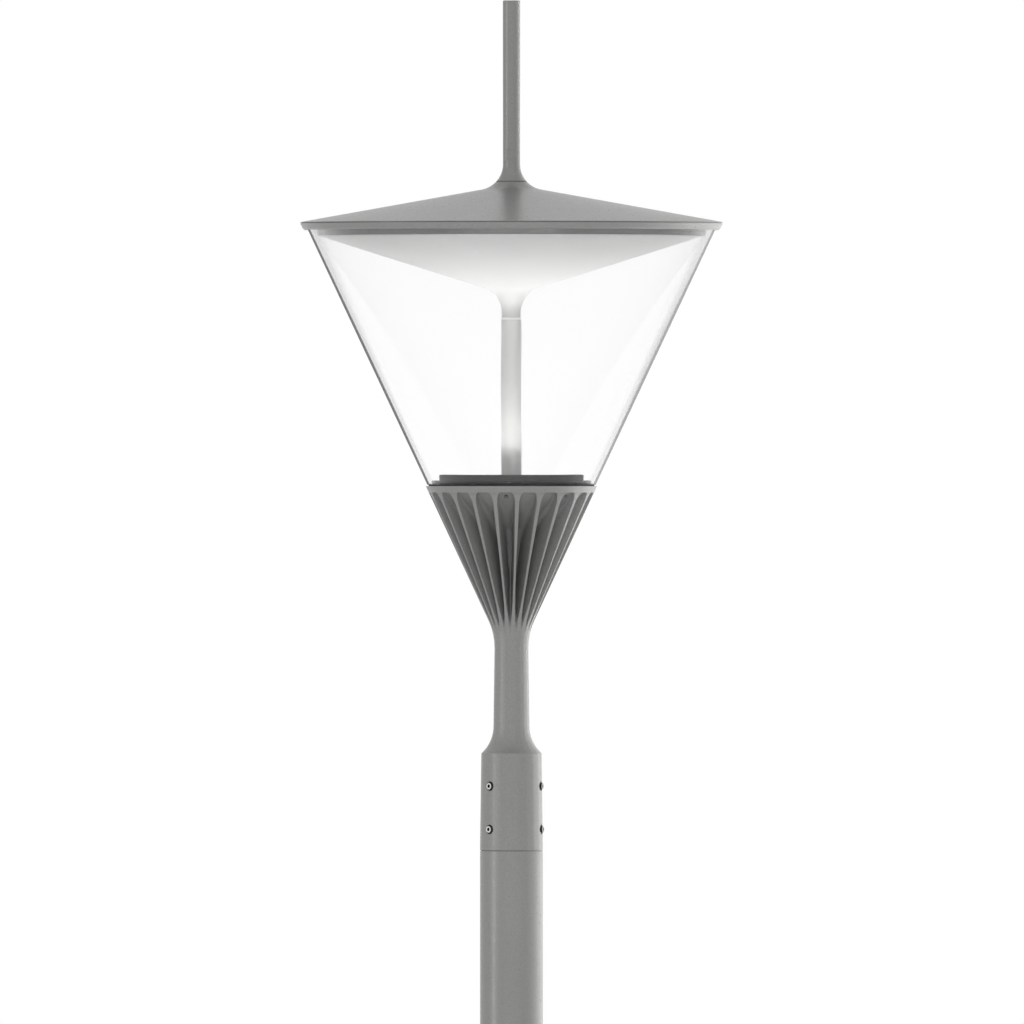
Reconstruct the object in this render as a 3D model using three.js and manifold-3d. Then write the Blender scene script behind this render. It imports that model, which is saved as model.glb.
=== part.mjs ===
// Street lamp post: a stepped steel column with a service door, carrying a post-top LED head.
// The head is a ribbed cast housing, a clear cone, a white reflector and a flat conical canopy
// with a finial rod. A tie rod through the centre tube clamps the head together.
// Units are millimetres, +Z is up, and the origin is the centre of the base plate's underside.
// Angles about the column run from the front (-Y) towards +X.

import * as THREE from "three";
import { mergeVertices } from "three/addons/utils/BufferGeometryUtils.js";
import Module from "manifold-3d";

const wasm = await Module();
wasm.setup();

// ---------------------------------------------------------------- driving dimensions

const GAP = 0.3; // between pieces that touch
const RIBS = 22;
const ROUND = 36; // sides of the head's large round pieces; the housing has one for each rib
const COLUMN_ROUND = 32; // sides of the column's tubes
const ROD_ROUND = 20; // sides of the centre tube, the finial and the spigot
const SMALL_ROUND = 12; // sides of bolts and bores

// Column
const COLUMN_HEIGHT = 3000; // the seam where the head sits on the column
const SHAFT_RADIUS = 38.05;
const SHAFT_WALL = 3.2;
const SHAFT_TOP_GAP = 0.5; // the shadow gap under the head's collar
const BASE_TUBE_RADIUS = 57.15;
const BASE_TUBE_WALL = 4;
const BASE_TUBE_TOP = 1100;
const SHOULDER_TOP = 1160;
const PLATE_SIDE = 280;
const PLATE_THICKNESS = 15;
const PLATE_CORNER = 20;
const CABLE_HOLE_RADIUS = 40;
const ANCHOR_OFFSET = 100; // each anchor stud from the column's axis, along X and along Y
const STUD_RADIUS = 8;
const STUD_BOTTOM = 1;
const STUD_TOP = 58;
const STUD_CLEARANCE = 1.5; // in the base plate's holes
const WASHER_RADIUS = 15;
const WASHER_THICKNESS = 3;
const NUT_CORNER_RADIUS = 13.9; // 24 across the flats
const NUT_TOP = 16; // above the washer's underside
const GUSSET_THICKNESS = 8;
const GUSSET_TOP = 95;
const GUSSET_REACH = 125;
const GUSSET_NOSE = 10; // height of the outer edge
const GUSSET_HEAD = 12; // width of the top edge

// Service door
const DOOR_BOTTOM = 500;
const DOOR_TOP = 900;
const DOOR_HALF_WIDTH = 42.5;
const DOOR_CORNER = 12;
const DOOR_GAP = 1;
const FRAME_LIP = 5; // how far the frame shows inside the aperture
const FRAME_THICKNESS = 6;
const FRAME_CORNER = 8;
const FRAME_MARGIN = 22; // how far the frame reaches above and below the aperture
const FRAME_CLEARANCE = 0.4; // between the frame and the base tube's bore
const FRAME_BACK = -14; // Y of the frame's straight edges
const LOCK_Z = 885;
const LOCK_RADIUS = 9;
const LOCK_PROUD = 0.8; // of the door's skin
const LOCK_END = 48; // distance of the barrel's inner end from the column's axis
const LOCK_RECESS_RADIUS = 7;
const LOCK_RECESS_DEPTH = 5;
const LOCK_NECK_RADIUS = 6;
const KEY_RADIUS = 4.6; // over the corners of the three-sided stud
const KEY_SUNK = 0.5;
const CAM_REACH = 17;
const CAM_HEEL = 6;
const CAM_HALF_HEIGHT = 4;
const CAM_THICKNESS = 3;
const CAM_FRONT = 43.6; // distance of the cam's front face from the column's axis
const TONGUE_FRONT = 42.8;
const TONGUE_THICKNESS = 3;
const TONGUE_HALF_WIDTH = 14;
const TONGUE_DROP = 14; // below the aperture's sill
const TONGUE_TOP = 28; // above the aperture's sill
const BRIDGE_BOTTOM = 10; // above the aperture's sill
const BRIDGE_FRONT = 54; // distance from the column's axis, inside the door's skin

// Service compartment
const BOARD_FRONT = 44; // Y of the raised pad that takes added equipment
const BOARD_STEP = 1; // how far the pad stands proud of the rest of the board
const BOARD_BACK = 48.6;
const BOARD_HALF_WIDTH = 20;
const BOARD_BOTTOM = 560;
const BOARD_TOP = 890;
const PAD_BOTTOM = 745;
const FUSE_BOX_FRONT = 9;
const FUSE_BOX_HALF_WIDTH = 22;
const FUSE_BOX_BOTTOM = 600;
const FUSE_BOX_TOP = 720;
const CABLE_BOSS_TOP = 732;
const CABLE_BOSS_RADIUS = 9;
const CABLE_RADIUS = 5;
const CABLE_BEHIND = 25; // how far behind the axis the cable leaves the fuse box
const SOCKET_BOTTOM = 640;
const SOCKET_TOP = 690;
const SOCKET_HALF_WIDTH = 13;
const SOCKET_DEPTH = 27;
const SOCKET_CLEARANCE = 0.4;
const CARRIER_FRONT = -6; // Y of the carrier's front face
const GRIP_FRONT = -18;
const GRIP_HALF_WIDTH = 8;
const GRIP_MARGIN = 10; // from the carrier's top and bottom edges to the grip
const FINGER_HOLE_FRONT = -14;
const FINGER_HOLE_BACK = -9;
const FINGER_HOLE_MARGIN = 16;
const EARTH_STUD_Z = 575;
const EARTH_STUD_RADIUS = 4;
const EARTH_STUD_LENGTH = 20;
const EARTH_NUT_RADIUS = 7.5;
const EARTH_NUT_SPAN = [4, 11]; // along the stud

// Head, with heights above the seam
const RIB_PHASE = THREE.MathUtils.degToRad(4.2);
const RIB_THICKNESS = 3.8;
const COLLAR_BOTTOM_RADIUS = 38.5;
const COLLAR_TOP_RADIUS = 36.9;
const COLLAR_TOP = 117;
const SPIGOT_RADIUS = 30;
const SPIGOT_TOP = 100;
const SPIGOT_STEP = 4; // below the seam, where the foot starts
const SPIGOT_DEPTH = 150;
const SPIGOT_WALL = 4;
const PLUG_CLEARANCE = 0.6; // between the spigot's foot and the shaft's bore
const NECK_FLARE = 45; // radius of the flare between the collar and the neck
const NECK_BOTTOM_RADIUS = 22;
const NECK_BOTTOM = 152;
const NECK_TOP_RADIUS = 20.7;
const NECK_TOP = 247.3;
const CONE_SLOPE = 0.4675; // radius gained for each millimetre of height, 25 degrees
const CONE_FLARE = 80; // radius of the blend between the neck and the ribbed cone
const HOUSING_TOP = 444.8;
const HOUSING_TOP_RADIUS = 104.5;
const POCKET_TOP = 436.7;
const POCKET_BOTTOM = 264;
const CORE_RADIUS = 20; // the core between the ribs, low down
const CORE_FLARE = 100; // radius of the core's trumpet
const CORE_SLOPE = 1.06; // radius gained for each millimetre of height, high up
const CORE_TOP_RADIUS = 99.5;
const CORE_WALL = 4;
const CORE_STEP = 8; // height of the step at the pockets' foot
const RIB_INSET = 5.2; // how far below the housing's top face the ribs end
const RIB_ROOT = 92; // radius where a rib's top edge meets the core
const NECK_BORE_RADIUS = 15.5;
const HOUSING_MOUTH_RADIUS = 90;
const WEB_BOTTOM = 108; // the floor of the neck, which the cable gland passes through
const WEB_TOP = 118;
const WEB_BORE_RADIUS = 8.6;
const GLAND_BOTTOM = 96;
const GLAND_TOP = 124;
const GLAND_NUT_RADIUS = 12;
const GLAND_THREAD_RADIUS = 8.2;
const LEAD_RADIUS = 4.5;
const SPIGOT_CLEARANCE = 0.5;
const SCREW_HEIGHTS = [26, 78.7];
const SCREW_ANGLES = [-45, 75, 195];
const LED_SCREW_ANGLES = [-4, 45.1, 176, 225.1];
const LED_SCREW_CIRCLE = 92;
const SET_SCREW_RADIUS = 4;
const SET_SCREW_HOLE = 5;
const SET_SCREW_PROUD = 2.2;
const HEX_SOCKET_RADIUS = 2.3;
const HEX_SOCKET_DEPTH = 4;
const LED_SCREW_HEAD = [2.8, 1.5]; // radius and height of the countersunk head
const LED_SCREW_SUNK = 0.3; // below the flange's top face
const LED_SCREW_SHANK = 1.5;
const LED_SCREW_HOLE = 2.1;
const LED_SCREW_END = 433;
const LED_SCREW_HOLE_FOOT = 420; // clear of the core below the hole

const LED_PLATE_RADIUS = 88;
const LED_FLANGE_RADIUS = 96;
const LED_FLANGE_TOP = 450.5;
const LED_PLATE_TOP = 458.5;
const LED_FLOOR = 453.5; // the recess that holds the LED board
const LED_RIM = 2.5; // width of the plate's raised edge
const DRIVER_RADIUS = 45;
const DRIVER_BOTTOM = 400;
const DRIVER_TOP = 430;
const DRIVER_POST_RADIUS = 4;
const DRIVER_POST_X = 35;
const TERMINALS_BOTTOM = 376;
const TERMINALS_HALF_SIZE = [19, 11];
const LED_BOARD_RADIUS = 85;
const LED_BOARD_BORE = 14;
const LED_BOARD_TOP = 455.4;
const LENS_PLATE_BOTTOM = 455.7;
const LENS_PLATE_THICKNESS = 1.2;
const LENS_COUNT = 12;
const LENS_CIRCLE = 52;
const LENS_RADIUS = 8;
const LENS_SPAN = [0.5, 1.6, 2.6]; // foot, shoulder and crown above the plate's underside
const LENS_CROWN = 4.5; // radius of the flat crown

const GLASS_BOTTOM = 446.5;
const GLASS_TOP = 761;
const GLASS_BOTTOM_RADIUS = 102.6;
const GLASS_SLOPE = 0.468;
const GLASS_WALL = 5.5; // measured across, so 5 mm square to the surface

const FOOT_GASKET = [97, 100.5]; // inner and outer radius
const HEAD_GASKET = [243.5, 250.6];
const HEAD_GASKET_THICKNESS = 1.6;

const TIE_ROD_RADIUS = 5;
const TIE_ROD_SPAN = [433, 834.5];
const TIE_NUT_RADIUS = 9.8; // over the corners, 17 across the flats
const TIE_NUT_HEIGHT = 8;
const ROD_HOLE_RADIUS = 5.6; // in the rings that slide over the tie rod
const SPACER_RADIUS = 9.2;
const TUBE_RADIUS = 11.6;
const TUBE_BORE = 9.5;
const TUBE_TOP = 648.5;
const RING_TOP = 650.5;
const FLARE_RADIUS = 31.7; // of the finial, the canopy's crown and the reflector's spout
const REFLECTOR_SPOUT_RADIUS = 11.5;
const REFLECTOR_SPOUT_TOP = 657.1;
const REFLECTOR_RIM_RADIUS = 235.3;
const REFLECTOR_RIM = 750.5;
const REFLECTOR_SLOPE = THREE.MathUtils.degToRad(17.46);
const REFLECTOR_WALL = 2;
const REFLECTOR_LIP = [1.6, 0.4, 1.1]; // width, underside and top of the lip at the rim
const REFLECTOR_SEAT = 3.5; // width of the flat on top of the rim

const CANOPY_RADIUS = 257.9;
const CANOPY_EDGE = 767;
const CANOPY_SLOPE = THREE.MathUtils.degToRad(10.07);
const CANOPY_WALL = 2.2;
const CANOPY_HEM = 0.9; // height of the rolled edge
const CANOPY_HEM_WIDTH = 8;
const RING_FACE = 765.3; // top face of the ring under the canopy
const RING_BOTTOM = 757.8;
const RING_LIP = [251.5, 252.6, 254.2, 256.2, 257.1]; // radii across the outer lip
const RING_LIP_CHAMFER = 1.8;
const RING_LIP_LEDGE = 0.8;
const RING_LEG = [232.5, 237.4]; // inner and outer radius of the deeper inner leg
const RING_LEG_BOTTOM = 751.9;
const RING_WEB = 763.2; // underside of the ring's web
const SEAM = 815.9; // the joint between the canopy's crown and the finial
const FINIAL_FOOT = 816.9;
const FINIAL_CHAMFER = 0.8;
const FINIAL_BORE = [5.4, 836]; // radius and top of the tapped hole
const FINIAL_GASKET = [17.6, 0.4]; // outer radius and thickness
const FINIAL_RADIUS = 10.43;
const FINIAL_FLARE_TOP = 837.8;
const FINIAL_TOP = 1037.4;
const FLATS_ACROSS = 18;
const FLATS_BOTTOM = 842.7;
const FLATS_HEIGHT = 12.7;
const FLATS_ANGLE = -17.7;

// ---------------------------------------------------------------- materials

const paint = new THREE.MeshStandardMaterial({ color: 0x969694, roughness: 0.45, metalness: 0.35 });
const darkPaint = new THREE.MeshStandardMaterial({ color: 0x4c4c4b, roughness: 0.7, metalness: 0.1 });
const whitePaint = new THREE.MeshStandardMaterial({ color: 0xeeeeec, roughness: 0.5, metalness: 0 });
const tubePaint = new THREE.MeshStandardMaterial({ color: 0xdcdcda, roughness: 0.4, metalness: 0 });
const clear = new THREE.MeshStandardMaterial({
  color: 0xf4f6f6,
  roughness: 0.03,
  metalness: 0,
  transparent: true,
  opacity: 0.2,
});
const rubber = new THREE.MeshStandardMaterial({ color: 0x2b2b2b, roughness: 0.85, metalness: 0 });
const zinc = new THREE.MeshStandardMaterial({ color: 0xb4b5b4, roughness: 0.4, metalness: 0.9 });
const steel = new THREE.MeshStandardMaterial({ color: 0xc3c3c1, roughness: 0.3, metalness: 1 });
const plastic = new THREE.MeshStandardMaterial({ color: 0xd7d7d2, roughness: 0.55, metalness: 0 });
const blackPlastic = new THREE.MeshStandardMaterial({ color: 0x242424, roughness: 0.6, metalness: 0 });
const board = new THREE.MeshStandardMaterial({ color: 0xf1f1ec, roughness: 0.5, metalness: 0 });
const brass = new THREE.MeshStandardMaterial({ color: 0xb08d4a, roughness: 0.35, metalness: 1 });

// ---------------------------------------------------------------- geometry helpers

// Points on an arc in the radius-height plane, from angle a to angle b, both in radians.
function arc(centreRadius, centreHeight, radius, a, b, steps) {
  const points = [];
  for (let i = 0; i <= steps; i++) {
    const angle = a + ((b - a) * i) / steps;
    points.push([centreRadius + radius * Math.cos(angle), centreHeight + radius * Math.sin(angle)]);
  }
  return points;
}

function signedArea(points) {
  let sum = 0;
  points.forEach(([x, y], i) => {
    const [nextX, nextY] = points[(i + 1) % points.length];
    sum += x * nextY - nextX * y;
  });
  return sum / 2;
}

// Turns a profile of [radius, height] points about +Z. A profile off the axis is closed on itself.
function turned(profile, sides = ROUND) {
  const ordered = signedArea(profile) < 0 ? [...profile].reverse() : [...profile];
  const onAxis = ordered[0][0] === 0 && ordered[ordered.length - 1][0] === 0;
  if (!onAxis) ordered.push(ordered[0]);
  const points = ordered.map(([radius, height]) => new THREE.Vector2(radius, height));
  return new THREE.LatheGeometry(points, sides).rotateX(Math.PI / 2);
}

function ring(inner, outer, bottom, top, sides = ROUND) {
  return turned([[inner, bottom], [outer, bottom], [outer, top], [inner, top]], sides);
}

function rod(radius, bottom, top, sides = SMALL_ROUND) {
  return turned([[0, bottom], [radius, bottom], [radius, top], [0, top]], sides);
}

// A box given by its lowest and highest corners.
function block(low, high) {
  const size = high.map((value, i) => value - low[i]);
  const centre = high.map((value, i) => (value + low[i]) / 2);
  return new THREE.BoxGeometry(...size).translate(...centre);
}

// A flat outline of [x, z] points in the X-Z plane, centred on y = 0 with the given thickness.
function plate(outline, thickness) {
  const shape = new THREE.Shape(outline.map(([x, z]) => new THREE.Vector2(x, z)));
  const geometry = new THREE.ExtrudeGeometry(shape, { depth: thickness, bevelEnabled: false });
  return geometry.translate(0, 0, -thickness / 2).rotateX(Math.PI / 2);
}

function roundedRectangle(halfWidth, halfHeight, corner) {
  const shape = new THREE.Shape();
  shape.absarc(halfWidth - corner, halfHeight - corner, corner, 0, Math.PI / 2);
  shape.absarc(corner - halfWidth, halfHeight - corner, corner, Math.PI / 2, Math.PI);
  shape.absarc(corner - halfWidth, corner - halfHeight, corner, Math.PI, 1.5 * Math.PI);
  shape.absarc(halfWidth - corner, corner - halfHeight, corner, 1.5 * Math.PI, 2 * Math.PI);
  return shape;
}

// A round-cornered opening that runs along Y, from the front to near the middle of the column.
function frontOpening(halfWidth, bottom, top, corner) {
  const depth = 60;
  const shape = roundedRectangle(halfWidth, (top - bottom) / 2, corner);
  const geometry = new THREE.ExtrudeGeometry(shape, { depth, bevelEnabled: false, curveSegments: 4 });
  return geometry.rotateX(Math.PI / 2).translate(0, -10, (top + bottom) / 2);
}

function tubeAlong(points, radius, steps, sides = 8) {
  const section = new THREE.Shape();
  for (let i = 0; i < sides; i++) {
    const angle = (2 * Math.PI * i) / sides;
    section[i ? "lineTo" : "moveTo"](radius * Math.cos(angle), radius * Math.sin(angle));
  }
  const extrudePath = new THREE.CatmullRomCurve3(points.map((p) => new THREE.Vector3(...p)));
  return new THREE.ExtrudeGeometry(section, { steps, extrudePath, bevelEnabled: false });
}

// A cylinder whose axis points away from the column's axis at the given angle from the front.
function radialRod(radius, inner, outer, height, degrees, sides = 12) {
  const geometry = rod(radius, inner, outer, sides).rotateX(Math.PI / 2);
  return geometry.rotateZ(THREE.MathUtils.degToRad(degrees)).translate(0, 0, height);
}

// A place on a circle about the column's axis, at the given angle from the front.
function onCircle(radius, degrees) {
  const angle = THREE.MathUtils.degToRad(degrees);
  return [radius * Math.sin(angle), -radius * Math.cos(angle)];
}

function solid(geometry) {
  const bare = geometry.clone();
  bare.deleteAttribute("normal");
  bare.deleteAttribute("uv");
  const merged = mergeVertices(bare, 1e-3);
  return new wasm.Manifold(
    new wasm.Mesh({
      numProp: 3,
      vertProperties: new Float32Array(merged.attributes.position.array),
      triVerts: new Uint32Array(merged.index.array),
    }),
  );
}

function fromSolid(made) {
  const mesh = made.getMesh();
  const geometry = new THREE.BufferGeometry();
  geometry.setAttribute("position", new THREE.BufferAttribute(mesh.vertProperties, 3));
  geometry.setIndex(new THREE.BufferAttribute(mesh.triVerts, 1));
  geometry.computeVertexNormals();
  return geometry;
}

function joined(...geometries) {
  return fromSolid(geometries.map(solid).reduce((a, b) => a.add(b)));
}

function cut(geometry, ...tools) {
  return fromSolid(tools.map(solid).reduce((a, b) => a.subtract(b), solid(geometry)));
}

function common(a, b) {
  return fromSolid(solid(a).intersect(solid(b)));
}

function piece(name, geometry, material) {
  const mesh = new THREE.Mesh(geometry, material);
  mesh.name = name;
  return mesh;
}

// ---------------------------------------------------------------- column

function basePlate() {
  const shape = roundedRectangle(PLATE_SIDE / 2, PLATE_SIDE / 2, PLATE_CORNER);
  const holes = [[0, 0, CABLE_HOLE_RADIUS]];
  for (const x of [-ANCHOR_OFFSET, ANCHOR_OFFSET]) {
    for (const y of [-ANCHOR_OFFSET, ANCHOR_OFFSET]) holes.push([x, y, STUD_RADIUS + STUD_CLEARANCE]);
  }
  for (const [x, y, radius] of holes) {
    shape.holes.push(new THREE.Path().absarc(x, y, radius, 0, 2 * Math.PI));
  }
  const options = { depth: PLATE_THICKNESS, bevelEnabled: false, curveSegments: 6 };
  return new THREE.ExtrudeGeometry(shape, options);
}

function gusset() {
  const foot = PLATE_THICKNESS + GAP;
  const inner = BASE_TUBE_RADIUS + GAP;
  const outline = [
    [inner, foot],
    [GUSSET_REACH, foot],
    [GUSSET_REACH, foot + GUSSET_NOSE],
    [inner + GUSSET_HEAD, GUSSET_TOP],
    [inner, GUSSET_TOP],
  ];
  return plate(outline, GUSSET_THICKNESS);
}

function baseTube() {
  const tube = ring(
    BASE_TUBE_RADIUS - BASE_TUBE_WALL,
    BASE_TUBE_RADIUS,
    PLATE_THICKNESS + GAP,
    BASE_TUBE_TOP,
    COLUMN_ROUND,
  );
  return cut(tube, frontOpening(DOOR_HALF_WIDTH, DOOR_BOTTOM, DOOR_TOP, DOOR_CORNER));
}

function shoulder() {
  const bottom = BASE_TUBE_TOP + GAP;
  const outer = [];
  const inner = [];
  const steps = 4;
  for (let i = 0; i <= steps; i++) {
    const share = (1 + Math.cos((Math.PI * i) / steps)) / 2;
    const height = bottom + ((SHOULDER_TOP - bottom) * i) / steps;
    const radius = SHAFT_RADIUS + (BASE_TUBE_RADIUS - SHAFT_RADIUS) * share;
    outer.push([radius, height]);
    inner.unshift([radius - BASE_TUBE_WALL, height]);
  }
  return turned([...outer, ...inner], COLUMN_ROUND);
}

function shaft() {
  return ring(
    SHAFT_RADIUS - SHAFT_WALL,
    SHAFT_RADIUS,
    SHOULDER_TOP + GAP,
    COLUMN_HEIGHT - SHAFT_TOP_GAP,
    COLUMN_ROUND,
  );
}

// The reduced end that the head slides over. Its thicker foot is pressed into the shaft's bore.
function spigot() {
  const bore = SPIGOT_RADIUS - SPIGOT_WALL;
  const plug = SHAFT_RADIUS - SHAFT_WALL - PLUG_CLEARANCE;
  const profile = [
    [bore, -SPIGOT_DEPTH],
    [plug, -SPIGOT_DEPTH],
    [plug, -SPIGOT_STEP],
    [SPIGOT_RADIUS, -SPIGOT_STEP],
    [SPIGOT_RADIUS, SPIGOT_TOP],
    [bore, SPIGOT_TOP],
  ];
  return turned(profile, ROD_ROUND).translate(0, 0, COLUMN_HEIGHT);
}

// The stiffening frame behind the aperture, which the door closes against.
function doorFrame() {
  const outer = BASE_TUBE_RADIUS - BASE_TUBE_WALL - FRAME_CLEARANCE;
  const bottom = DOOR_BOTTOM - FRAME_MARGIN;
  const top = DOOR_TOP + FRAME_MARGIN;
  const band = ring(outer - FRAME_THICKNESS, outer, bottom, top, COLUMN_ROUND);
  const front = block([-outer, -BASE_TUBE_RADIUS, 0], [outer, FRAME_BACK, BASE_TUBE_TOP]);
  const halfWidth = DOOR_HALF_WIDTH - FRAME_LIP;
  const opening = frontOpening(halfWidth, DOOR_BOTTOM + FRAME_LIP, DOOR_TOP - FRAME_LIP, FRAME_CORNER);
  return cut(common(band, front), opening);
}

// The flush door, with the tongue inside its foot that hooks behind the frame.
function doorPanel() {
  const inner = BASE_TUBE_RADIUS - BASE_TUBE_WALL;
  const halfWidth = DOOR_HALF_WIDTH - DOOR_GAP;
  const corner = DOOR_CORNER - DOOR_GAP;
  const skin = common(
    ring(inner, BASE_TUBE_RADIUS, DOOR_BOTTOM, DOOR_TOP, COLUMN_ROUND),
    frontOpening(halfWidth, DOOR_BOTTOM + DOOR_GAP, DOOR_TOP - DOOR_GAP, corner),
  );
  const lockHole = radialRod(LOCK_RADIUS + GAP, 0, BASE_TUBE_RADIUS + 10, LOCK_Z, 0, 20);
  const top = DOOR_BOTTOM + TONGUE_TOP;
  const back = TONGUE_THICKNESS - TONGUE_FRONT;
  const bridge = block(
    [-TONGUE_HALF_WIDTH, -BRIDGE_FRONT, DOOR_BOTTOM + BRIDGE_BOTTOM],
    [TONGUE_HALF_WIDTH, back - 1, top],
  );
  const tongue = block(
    [-TONGUE_HALF_WIDTH, -TONGUE_FRONT, DOOR_BOTTOM - TONGUE_DROP],
    [TONGUE_HALF_WIDTH, back, top],
  );
  return cut(joined(skin, bridge, tongue), lockHole);
}

// A lock with a three-sided key stud outside and a cam inside, turned to open.
function doorLock() {
  const face = BASE_TUBE_RADIUS + LOCK_PROUD;
  const floor = face - LOCK_RECESS_DEPTH;
  const camBack = CAM_FRONT - CAM_THICKNESS;
  const barrel = radialRod(LOCK_RADIUS, LOCK_END, face, 0, 0, 20);
  const recess = radialRod(LOCK_RECESS_RADIUS, floor, face + 1, 0, 0, 16);
  const key = radialRod(KEY_RADIUS, floor - 1, face - KEY_SUNK, 0, 0, 3);
  const neck = radialRod(LOCK_NECK_RADIUS, camBack, LOCK_END + 1, 0, 0);
  const cam = block([-CAM_HEEL, -CAM_FRONT, -CAM_HALF_HEIGHT], [CAM_REACH, -camBack, CAM_HALF_HEIGHT]);
  return joined(cut(barrel, recess), key, neck, cam).translate(0, 0, LOCK_Z);
}

// The board behind the fuse box, with a raised pad above it for added equipment.
function backboard() {
  const panel = block(
    [-BOARD_HALF_WIDTH, BOARD_FRONT + BOARD_STEP, BOARD_BOTTOM],
    [BOARD_HALF_WIDTH, BOARD_BACK, BOARD_TOP],
  );
  const pad = block([-BOARD_HALF_WIDTH, BOARD_FRONT, PAD_BOTTOM], [BOARD_HALF_WIDTH, BOARD_BACK, BOARD_TOP]);
  return joined(panel, pad);
}

// The fused terminal box: a moulded body with a socket for the carrier and a cable boss on top.
function fuseBox() {
  const back = BOARD_FRONT + BOARD_STEP - GAP;
  const body = block(
    [-FUSE_BOX_HALF_WIDTH, FUSE_BOX_FRONT, FUSE_BOX_BOTTOM],
    [FUSE_BOX_HALF_WIDTH, back, FUSE_BOX_TOP],
  );
  const boss = rod(CABLE_BOSS_RADIUS, FUSE_BOX_TOP - 1, CABLE_BOSS_TOP).translate(0, CABLE_BEHIND, 0);
  const socket = block(
    [-SOCKET_HALF_WIDTH, 0, SOCKET_BOTTOM],
    [SOCKET_HALF_WIDTH, SOCKET_DEPTH, SOCKET_TOP],
  );
  return cut(joined(body, boss), socket);
}

function fuseCarrier() {
  const halfWidth = SOCKET_HALF_WIDTH - SOCKET_CLEARANCE;
  const bottom = SOCKET_BOTTOM + SOCKET_CLEARANCE;
  const top = SOCKET_TOP - SOCKET_CLEARANCE;
  const back = SOCKET_DEPTH - SOCKET_CLEARANCE;
  const body = block([-halfWidth, CARRIER_FRONT, bottom], [halfWidth, back, top]);
  const grip = block(
    [-GRIP_HALF_WIDTH, GRIP_FRONT, bottom + GRIP_MARGIN],
    [GRIP_HALF_WIDTH, CARRIER_FRONT + 1, top - GRIP_MARGIN],
  );
  const fingerHole = block(
    [-halfWidth, FINGER_HOLE_FRONT, bottom + FINGER_HOLE_MARGIN],
    [halfWidth, FINGER_HOLE_BACK, top - FINGER_HOLE_MARGIN],
  );
  return cut(joined(body, grip), fingerHole);
}

// The stud and nut for the earth wire, standing on the front of the board.
function earthStud() {
  const [nutFoot, nutTop] = EARTH_NUT_SPAN;
  const bolt = rod(EARTH_STUD_RADIUS, GAP, EARTH_STUD_LENGTH);
  const nut = rod(EARTH_NUT_RADIUS, nutFoot, nutTop, 6);
  return joined(bolt, nut).rotateX(Math.PI / 2).translate(0, BOARD_FRONT + BOARD_STEP, EARTH_STUD_Z);
}

// A hexagon nut with its washer face, standing on the base plate.
function anchorNut() {
  const foot = PLATE_THICKNESS + GAP;
  const washer = rod(WASHER_RADIUS, foot, foot + WASHER_THICKNESS, 16);
  const hexagon = rod(NUT_CORNER_RADIUS, foot + WASHER_THICKNESS - 1, foot + NUT_TOP, 6);
  const bore = rod(STUD_RADIUS + GAP, 0, STUD_TOP + 10);
  return cut(joined(washer, hexagon), bore);
}

// The cable climbs from the fuse box to the column's axis and on to the gland in the head.
function supplyCable() {
  const route = [
    [0, CABLE_BEHIND, CABLE_BOSS_TOP + GAP],
    [0, CABLE_BEHIND - 1, CABLE_BOSS_TOP + 68],
    [0, 14, 900],
    [0, 4, 1000],
    [0, 0, 1120],
    [0, 0, 1700],
    [0, 0, 2400],
    [0, 0, COLUMN_HEIGHT + GLAND_BOTTOM - GAP],
  ];
  return tubeAlong(route, CABLE_RADIUS, 18);
}

function buildColumn() {
  const column = new THREE.Group();
  column.add(piece("base_plate", basePlate(), paint));
  for (let i = 0; i < 4; i++) {
    const wing = piece(`base_gusset_${i + 1}`, gusset(), paint);
    wing.rotation.z = (Math.PI / 2) * i;
    column.add(wing);
    const corner = Math.PI / 4 + (Math.PI / 2) * i;
    const reach = ANCHOR_OFFSET * Math.SQRT2;
    const at = [reach * Math.cos(corner), reach * Math.sin(corner), 0];
    const stud = piece(`anchor_stud_${i + 1}`, rod(STUD_RADIUS, STUD_BOTTOM, STUD_TOP), zinc);
    const nut = piece(`anchor_nut_${i + 1}`, anchorNut(), zinc);
    stud.position.set(...at);
    nut.position.set(...at);
    column.add(stud, nut);
  }
  column.add(
    piece("base_tube", baseTube(), paint),
    piece("shoulder", shoulder(), paint),
    piece("shaft", shaft(), paint),
    piece("spigot", spigot(), zinc),
    piece("door_frame", doorFrame(), paint),
    piece("door_panel", doorPanel(), paint),
    piece("door_lock", doorLock(), steel),
    piece("backboard", backboard(), zinc),
    piece("fuse_box", fuseBox(), plastic),
    piece("fuse_carrier", fuseCarrier(), blackPlastic),
    piece("earth_stud", earthStud(), brass),
    piece("supply_cable", supplyCable(), blackPlastic),
  );
  return column;
}

// ---------------------------------------------------------------- head

// Outline of the neck and the ribbed cone, from the collar's shoulder up to the given height.
function envelope(top) {
  const flareCentre = NECK_BOTTOM_RADIUS + NECK_FLARE;
  const flareStart = Math.acos((flareCentre - COLLAR_TOP_RADIUS) / NECK_FLARE);
  const coneAngle = Math.atan(CONE_SLOPE);
  const blendCentre = NECK_TOP_RADIUS + CONE_FLARE;
  const outline = [
    ...arc(flareCentre, NECK_BOTTOM, NECK_FLARE, Math.PI + flareStart, Math.PI, 3),
    ...arc(blendCentre, NECK_TOP, CONE_FLARE, Math.PI, Math.PI - coneAngle, 3),
    [HOUSING_TOP_RADIUS, HOUSING_TOP],
  ];
  return outline.filter(([, height]) => height <= top);
}

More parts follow.
